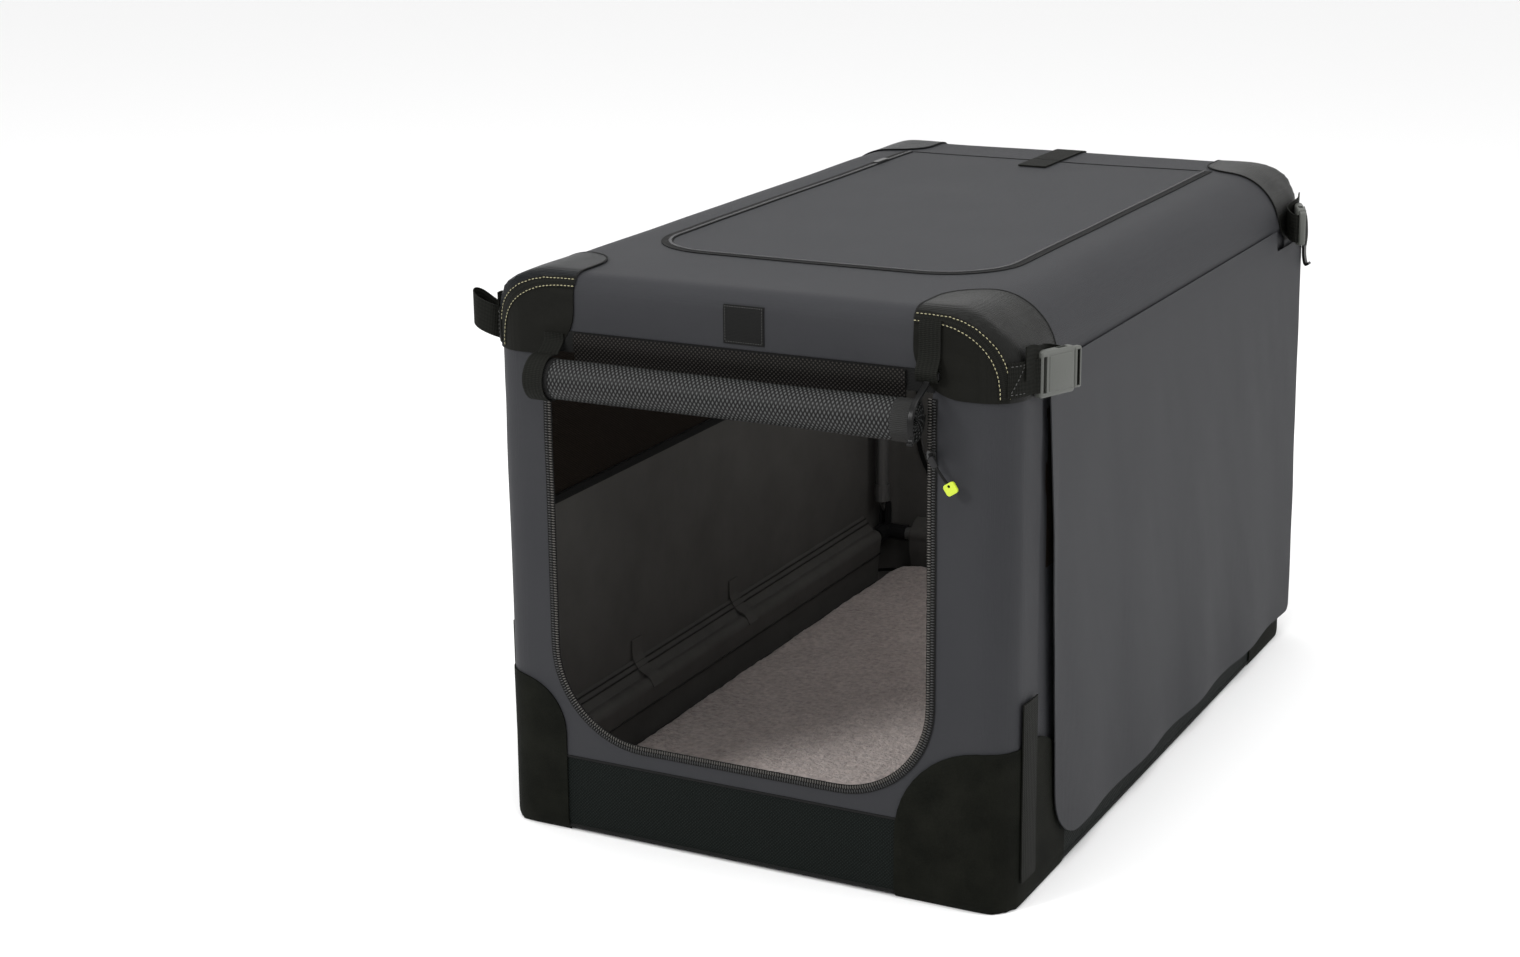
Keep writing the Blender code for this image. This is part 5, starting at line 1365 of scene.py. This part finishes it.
# Spare strap that hangs at the rear right corner: a short length of webbing sewn in at the hood's edge,
# with a small moulded hook at its end
HANG_WIDTH, HANG = 0.020, 0.0016
CLIP_WIDTH = 0.010
HANG_WAY = ((0.0030, 0.012, 0.058), (0.0070, 0.010, 0.074), (0.0085, 0.009, 0.096), (0.0075, 0.009, 0.112))
CLIP_WAY = ((0.0075, 0.009, 0.110), (0.0080, 0.009, 0.124), (0.0110, 0.009, 0.136), (0.0160, 0.009, 0.134))
for name, way, width, thickness, finish, slot, bend in (
    ("rear_hanging_strap", HANG_WAY, HANG_WIDTH, HANG, webbing, "webbing", TAPE_BEND),
    ("rear_hanging_clip", CLIP_WAY, CLIP_WIDTH, HOOK, hook_plastic, "joint_plastic", HOOK_BEND),
):
    hang_line = flowing([(HALF + out, REAR - back, HEIGHT - down) for out, back, down in way])
    hang = strap(name, hang_line, (0, 1, 0), width, thickness)
    dress(smooth(hang, bend), finish, slot)
    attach(hang, "top_frame")

# Hatch zip: black tape sewn round three sides of the hatch, with a shiny plastic coil on it: its low
# roughness gives a real shine, and its lighter grey colour is a painted highlight. The hinge seam along
# the fourth side is bound with a narrow tape
HATCH_TAPE, HATCH_TAPE_THICK, HATCH_TAPE_LIFT = 0.0135, 0.0009, 0.0002
TAPE_START = 0.0008
COIL, COIL_PITCH = (0.0016, 0.0046, 0.0016), 0.0019
COIL_OUT, COIL_LIFT = 0.0038, 0.0014
HINGE_WIDTH, HINGE, HINGE_LIFT, HINGE_BACK = 0.0022, 0.0006, 0.0001, 0.0015
# Painted highlight: the coil is a lighter grey than the black tape, so that it shows as a bright line
hatch_coil_painted_highlight = grained("hatch_coil_painted_highlight", (0.030, 0.030, 0.032), 0.22, 300.0)
hatch_line = [(HATCH_LOW.x, HATCH_HIGH.y)]
hatch_line += arc((HATCH_LOW.x + HATCH_RADIUS, HATCH_LOW.y + HATCH_RADIUS), HATCH_RADIUS, 180, 270)
hatch_line += arc((HATCH_HIGH.x - HATCH_RADIUS, HATCH_LOW.y + HATCH_RADIUS), HATCH_RADIUS, 270, 360)
hatch_line += [(HATCH_HIGH.x, HATCH_HIGH.y)]
hatch_line = [on_cover((x, y, HEIGHT))[0] for x, y in hatch_line]


def beside(line, away):
    """The same line moved this far outwards from the hatch's middle, level."""
    moved = []
    for i, point in enumerate(line):
        run = (line[min(i + 1, len(line) - 1)] - line[max(i - 1, 0)]).normalized()
        moved.append(point + run.cross(Vector((0, 0, 1))) * away)
    return moved


tape_line = beside(hatch_line, HATCH_TAPE / 2 + TAPE_START)
zip_tape = ribbon("hatch_zip_tape", tape_line, HATCH_TAPE, HATCH_TAPE_THICK, HATCH_TAPE_LIFT, 3)
dress(smooth(zip_tape, TAPE_BEND), black_tape, "zip_plastic")
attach(zip_tape, "top_frame")
coil = sewn("hatch_zip_coil", beside(hatch_line, COIL_OUT), COIL_PITCH, COIL, COIL_LIFT)
dress(coil, hatch_coil_painted_highlight, "zip_plastic")
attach(coil, "top_frame")
hinge_line = [on_cover((x, HATCH_HIGH.y + HINGE_BACK, HEIGHT))[0]
              for x in (HATCH_LOW.x, HATCH_LOW.x / 2, 0, HATCH_HIGH.x / 2, HATCH_HIGH.x)]
hinge = ribbon("hatch_hinge_seam", hinge_line, HINGE_WIDTH, HINGE, HINGE_LIFT, 2)
dress(hinge, black_tape, "webbing")
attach(hinge, "top_frame")

# Webbing tab over the hatch's rear seam, sewn down flat. It is in two lengths, one on the hatch and one
# on the hood, so that the hatch can lift
TAB_LEFT, TAB_RIGHT = -0.030, 0.010
TAB, TAB_LIFT, TAB_STEPS = 0.0018, 0.0008, 6
TAB_FRONT, TAB_REAR, TAB_GAP = FRONT + 0.880, REAR - 0.010, 0.001
tab_x = (TAB_LEFT + TAB_RIGHT) / 2
for name, body, low_y, high_y in (("hatch_tab", "hatch", TAB_FRONT, HATCH_HIGH.y - TAB_GAP),
                                  ("hood_tab", "top_frame", HATCH_HIGH.y + TAB_GAP, TAB_REAR)):
    ys = [low_y + (high_y - low_y) * i / TAB_STEPS for i in range(TAB_STEPS + 1)]
    tab_line = [on_cover((tab_x, y, HEIGHT))[0] for y in ys]
    tab = ribbon(name, tab_line, TAB_RIGHT - TAB_LEFT, TAB, TAB_LIFT)
    dress(smooth(tab, TAPE_BEND), webbing, "webbing")
    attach(tab, body)

# Label of black cloth over the doorway, left blank, sewn to the hood. A border of fine stitches runs
# just inside its edge
LABEL_LEFT, LABEL_RIGHT = -0.018, 0.031
LABEL_TALL, LABEL_DROP = 0.043, 0.016
LABEL, LABEL_LIFT = 0.0013, 0.0007
BORDER_IN, BORDER_LIFT, BORDER_PITCH = 0.0022, 0.0015, 0.0030
FINE_STITCH = (0.0024, 0.0008, 0.0006)
label_high = HEIGHT - LABEL_DROP
label_low = label_high - LABEL_TALL


def label_place(u, v):
    x = LABEL_LEFT + (LABEL_RIGHT - LABEL_LEFT) * u
    return on_cover((x, FRONT, label_low + (label_high - label_low) * v), LABEL_LIFT)[0]


label = lay("label", label_place, 10, 10, (LABEL_RIGHT - LABEL_LEFT, LABEL_TALL), LABEL)
dress(smooth(label, TAPE_BEND), black_tape, "webbing")
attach(label, "top_frame")
left, right_side = LABEL_LEFT + BORDER_IN, LABEL_RIGHT - BORDER_IN
foot, head = label_low + BORDER_IN, label_high - BORDER_IN
border_plan = ((left, foot), (right_side, foot), (right_side, head), (left, head), (left, foot))
border_line = [on_cover((x, FRONT, z))[0] for x, z in border_plan]
border = sewn("label_stitches", border_line, BORDER_PITCH, FINE_STITCH, BORDER_LIFT)
dress(border, dark_thread, "webbing")
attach(border, "top_frame")

# Zip pull: a short limp cord that hangs from the slider through a moulded grip. It ends in a plain tag
# of lime rubber with round corners and an eye
PULL_LOW, PULL_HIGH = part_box("zip_pull")
CORD_RADIUS = 0.0015
PULL_WAY = ((0, 0, 0.002), (0.003, 0.001, 0.008), (0.009, 0.002, 0.016), (0.018, 0.003, 0.027),
            (0.025, 0.003, 0.035))
TAG_LEAN, GRIP_LEAN, GRIP_POINT = radians(-33), radians(-28), 8
GRIP, GRIP_EDGE = ((-0.0036, -0.0026, -0.0070), (0.0036, 0.0026, 0.0060)), 0.0014
TAG, TAG_CORNER, TAG_HALF = ((-0.0068, -0.0085), (0.0068, 0.0045)), 0.0034, 0.0016
TAG_EDGE = 0.0006
EYE, EYE_RADIUS, EYE_END = (0, 0.0012), 0.0016, 337.5
pull_x, pull_y = (PULL_LOW.x + PULL_HIGH.x) / 2, PULL_LOW.y - 0.0004
pull_line = flowing([(pull_x + along, pull_y - out, PULL_HIGH.z - down) for along, out, down in PULL_WAY])
cord = bpy.data.curves.new("pull_cord", "CURVE")
cord.dimensions = "3D"
cord.bevel_depth = CORD_RADIUS
cord.bevel_resolution = 2
cord.use_fill_caps = True
thin = cord.splines.new("POLY")
thin.points.add(len(pull_line) - 1)
for point, spot in zip(thin.points, pull_line):
    point.co = (*spot, 1)
pull_cord = bpy.data.objects.new("pull_cord", cord)
bpy.context.scene.collection.objects.link(pull_cord)
pull_cord.data.materials.append(black_tape.material)
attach(pull_cord, "zip_pull")
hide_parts("zip_pull")
swing = Matrix.Translation(pull_line[-1]) @ Matrix.Rotation(TAG_LEAN, 4, "Y")
grip_place = Matrix.Translation(pull_line[GRIP_POINT]) @ Matrix.Rotation(GRIP_LEAN, 4, "Y")
grip = rim_block("pull_grip", *GRIP, GRIP_EDGE)
grip.data.transform(grip_place)
dress(smooth(grip, MOULD_BEND), moulded, "zip_plastic")
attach(grip, "zip_pull")
lime = grained("lime_rubber", (0.42, 0.52, 0.02), 0.45, 400.0)
tag = prism("pull_tag", oblong(*TAG, TAG_CORNER), -TAG_HALF, TAG_HALF, "Y")
shape_by(tag, prism("eye", arc(EYE, EYE_RADIUS, 0, EYE_END), -ROOM, ROOM, "Y"), "DIFFERENCE")
modify(tag, "BEVEL", width=TAG_EDGE, segments=2, limit_method="ANGLE")
tag.data.transform(swing)
dress(smooth(tag, MOULD_BEND), lime, "zip_plastic")
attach(tag, "zip_pull")
tuple(pull_line[0])
length_of(pull_line)

# Rear door: black mesh with a cloth lining, zipped shut in its doorway and sewn in along its head. The
# zip's tape shows round it from inside
DOOR_CLOTH, DOOR_GAP = 0.002, 0.0006
DOOR_FLAT = (0.474, 0.455)
INNER_TAPE = (0.0054, 0.0046)
INNER_TAPE_OUT, INNER_TAPE_IN = 0.008, 0.001
rear_door = cut_cloth("rear_door_cloth", (None, REAR - ROOM, DOOR_FOOT - OVER),
                      (None, None, DOOR[1].z + OVER), 0, DOOR_CLOTH)
shape_by(rear_door, prism("outline", doorway(REAR, -DOOR_GAP), REAR - ROOM, REAR + ROOM, "Y"), "INTERSECT")
dress(smooth(rear_door), (skirt_mesh, lining), "black_mesh")
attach(rear_door, "rear_door")
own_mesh(rear_door)
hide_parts("rear_door")
cloth(rear_door, DOOR_FLAT)
bpy.data.objects.remove(form, do_unlink=True)
inner_tape = prism("rear_zip_inner_tape", doorway(REAR, INNER_TAPE_OUT), REAR - INNER_TAPE[0],
                   REAR - INNER_TAPE[1], "Y")
inner_edge = doorway(REAR, INNER_TAPE_IN)
shape_by(inner_tape, prism("outline", inner_edge, REAR - ROOM, REAR + ROOM, "Y"), "DIFFERENCE")
dress(inner_tape, black_tape, "webbing")
on_base(inner_tape)

# Sleeves of lining cloth that hold the base tubes against the walls and the ends. The side ones are
# sewn down above and below their tube with dark thread
TUBE, SLEEVE_EASE = 0.0095, 0.0016
SLEEVE, SLEEVE_CLEAR = 0.0010, 0.0012
SLEEVE_HIGH, SLEEVE_LOW = 0.030, 0.0062
RAIL_X, RAIL_Z = middle_of("base_rail_right")[::2]
RAIL_START, RAIL_END = FRONT + 0.064, REAR - 0.064
RAIL_LONG = RAIL_END - RAIL_START
CROSS_Y = {FRONT: middle_of("base_cross_front")[1], REAR: middle_of("base_cross_rear")[1]}
CROSS_LONG = 0.5
LOOSE = 0.0012
SEAM_THREAD = (0.0014, 0.0016)
SEAMS = ((RAIL_Z + 0.0275, 0.0150), (RAIL_Z + 0.0215, 0.0105), (RAIL_Z - 0.0240, -0.0092))
SEAM_SUNK, SEAM_STEPS = 0.0008, 20
wrap = TUBE + SLEEVE_EASE
sleeve_in = [(HALF - WALL_BACK - CLOTH - SLEEVE_CLEAR, RAIL_Z + 0.031), (RAIL_X + 0.009, RAIL_Z + 0.017)]
sleeve_in += arc_round((RAIL_X, RAIL_Z), wrap, range(80, 201, 15))
sleeve_in += [(RAIL_X - 0.0085, RAIL_Z - 0.022), (RAIL_X - 0.0060, SLEEVE_HIGH),
              (RAIL_X - 0.0055, SLEEVE_LOW)]
seam_thread = grained("seam_thread", (0.010, 0.009, 0.008), 0.8, 600.0)
for side, name in ((1, "right"), (-1, "left")):
    profile = flowing([(side * x, 0, z) for x, z in sleeve_in], 3)

    def sleeve_place(u, v):
        point = along_line(profile, v)[0]
        y = RAIL_START + RAIL_LONG * u
        loose = noise.noise(Vector((side, y * 16, v * 3))) * LOOSE
        return Vector((point.x - side * abs(loose), y, point.z))

    sleeve = lay("base_sleeve_" + name, sleeve_place, 120, 30, (RAIL_LONG, length_of(profile)), SLEEVE)
    dress(smooth(sleeve), lining, "grey_cloth")
    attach(sleeve, "base")
    cloth(sleeve, (RAIL_LONG, length_of(profile)))
    for height, out in SEAMS:
        x = side * (RAIL_X + out - SEAM_SUNK)
        line = [Vector((x, RAIL_START + RAIL_LONG * i / SEAM_STEPS, height)) for i in range(SEAM_STEPS + 1)]
        seam = strap(f"sleeve_seam_{name}_{round(height * 10000)}", line, (0, 0, 1), *SEAM_THREAD, 1)
        dress(seam, seam_thread, "webbing")
        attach(seam, "base")
for end, name in ((FRONT, "front"), (REAR, "rear")):
    inward = 1 if end == FRONT else -1
    tube_y = CROSS_Y[end]
    wall_y = end + inward * (CLOTH + SLEEVE_CLEAR)
    sleeve_out = [(wall_y, RAIL_Z + 0.022), (tube_y - inward * 0.007, RAIL_Z + 0.0165)]
    sleeve_out += arc_round((tube_y, RAIL_Z), (inward * wrap, wrap), range(90, -31, -15))
    sleeve_out += [(tube_y + inward * 0.0085, RAIL_Z - 0.022), (tube_y + inward * 0.0035, SLEEVE_HIGH),
                   (tube_y, SLEEVE_LOW)]
    profile = flowing([(0, y, z) for y, z in sleeve_out], 3)

    def cross_place(u, v):
        return along_line(profile, v)[0] + Vector(((2 * u - 1) * CROSS_LONG / 2, 0, 0))

    sleeve = lay("cross_sleeve_" + name, cross_place, 60, 30, (CROSS_LONG, length_of(profile)), SLEEVE)
    dress(smooth(sleeve), lining, "grey_cloth")
    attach(sleeve, "base")
    cloth(sleeve, (CROSS_LONG, length_of(profile)))

# Touch-fastener tabs over the side sleeves: strips of lining cloth, sewn to the wall above the tube and
# pressed down round it
TAB_WIDE, TAB_THIN = 0.025, 0.0011
TAB_CLEAR = 0.0022
TAB_WAY = ((HALF - WALL_BACK - CLOTH - TAB_CLEAR, RAIL_Z + 0.058), (HALF - 0.0092, RAIL_Z + 0.034),
           (RAIL_X + 0.007, RAIL_Z + 0.0190), (RAIL_X - 0.006, RAIL_Z + 0.0122), (RAIL_X - 0.0132, RAIL_Z))
for side, name in ((1, "right"), (-1, "left")):
    for number, y in enumerate((FRONT + 0.300, FRONT + 0.565)):
        tab_line = flowing([(side * x, y, z) for x, z in TAB_WAY])
        tab = strap(f"sleeve_tab_{name}_{number}", tab_line, (0, 1, 0), TAB_WIDE, TAB_THIN)
        dress(smooth(tab, TAPE_BEND), lining, "webbing")
        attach(tab, "base")

# Studio floor: a plain pale plane that runs on into the white of the studio, a hair below the crate.
# It is a stage and no part of the crate
FLOOR_REACH, FLOOR_DROP = 20, 0.0008
let_go()
bpy.ops.mesh.primitive_plane_add(size=FLOOR_REACH, location=(0, 0, -FLOOR_DROP))
floor = settle(name_it(bpy.context.object, "floor"))
pale = grained("pale_floor", (0.90, 0.90, 0.90), 0.8, 30.0, 3.0, 0.0002, Specular_IOR_Level=0.1)
floor.data.materials.append(pale.material)
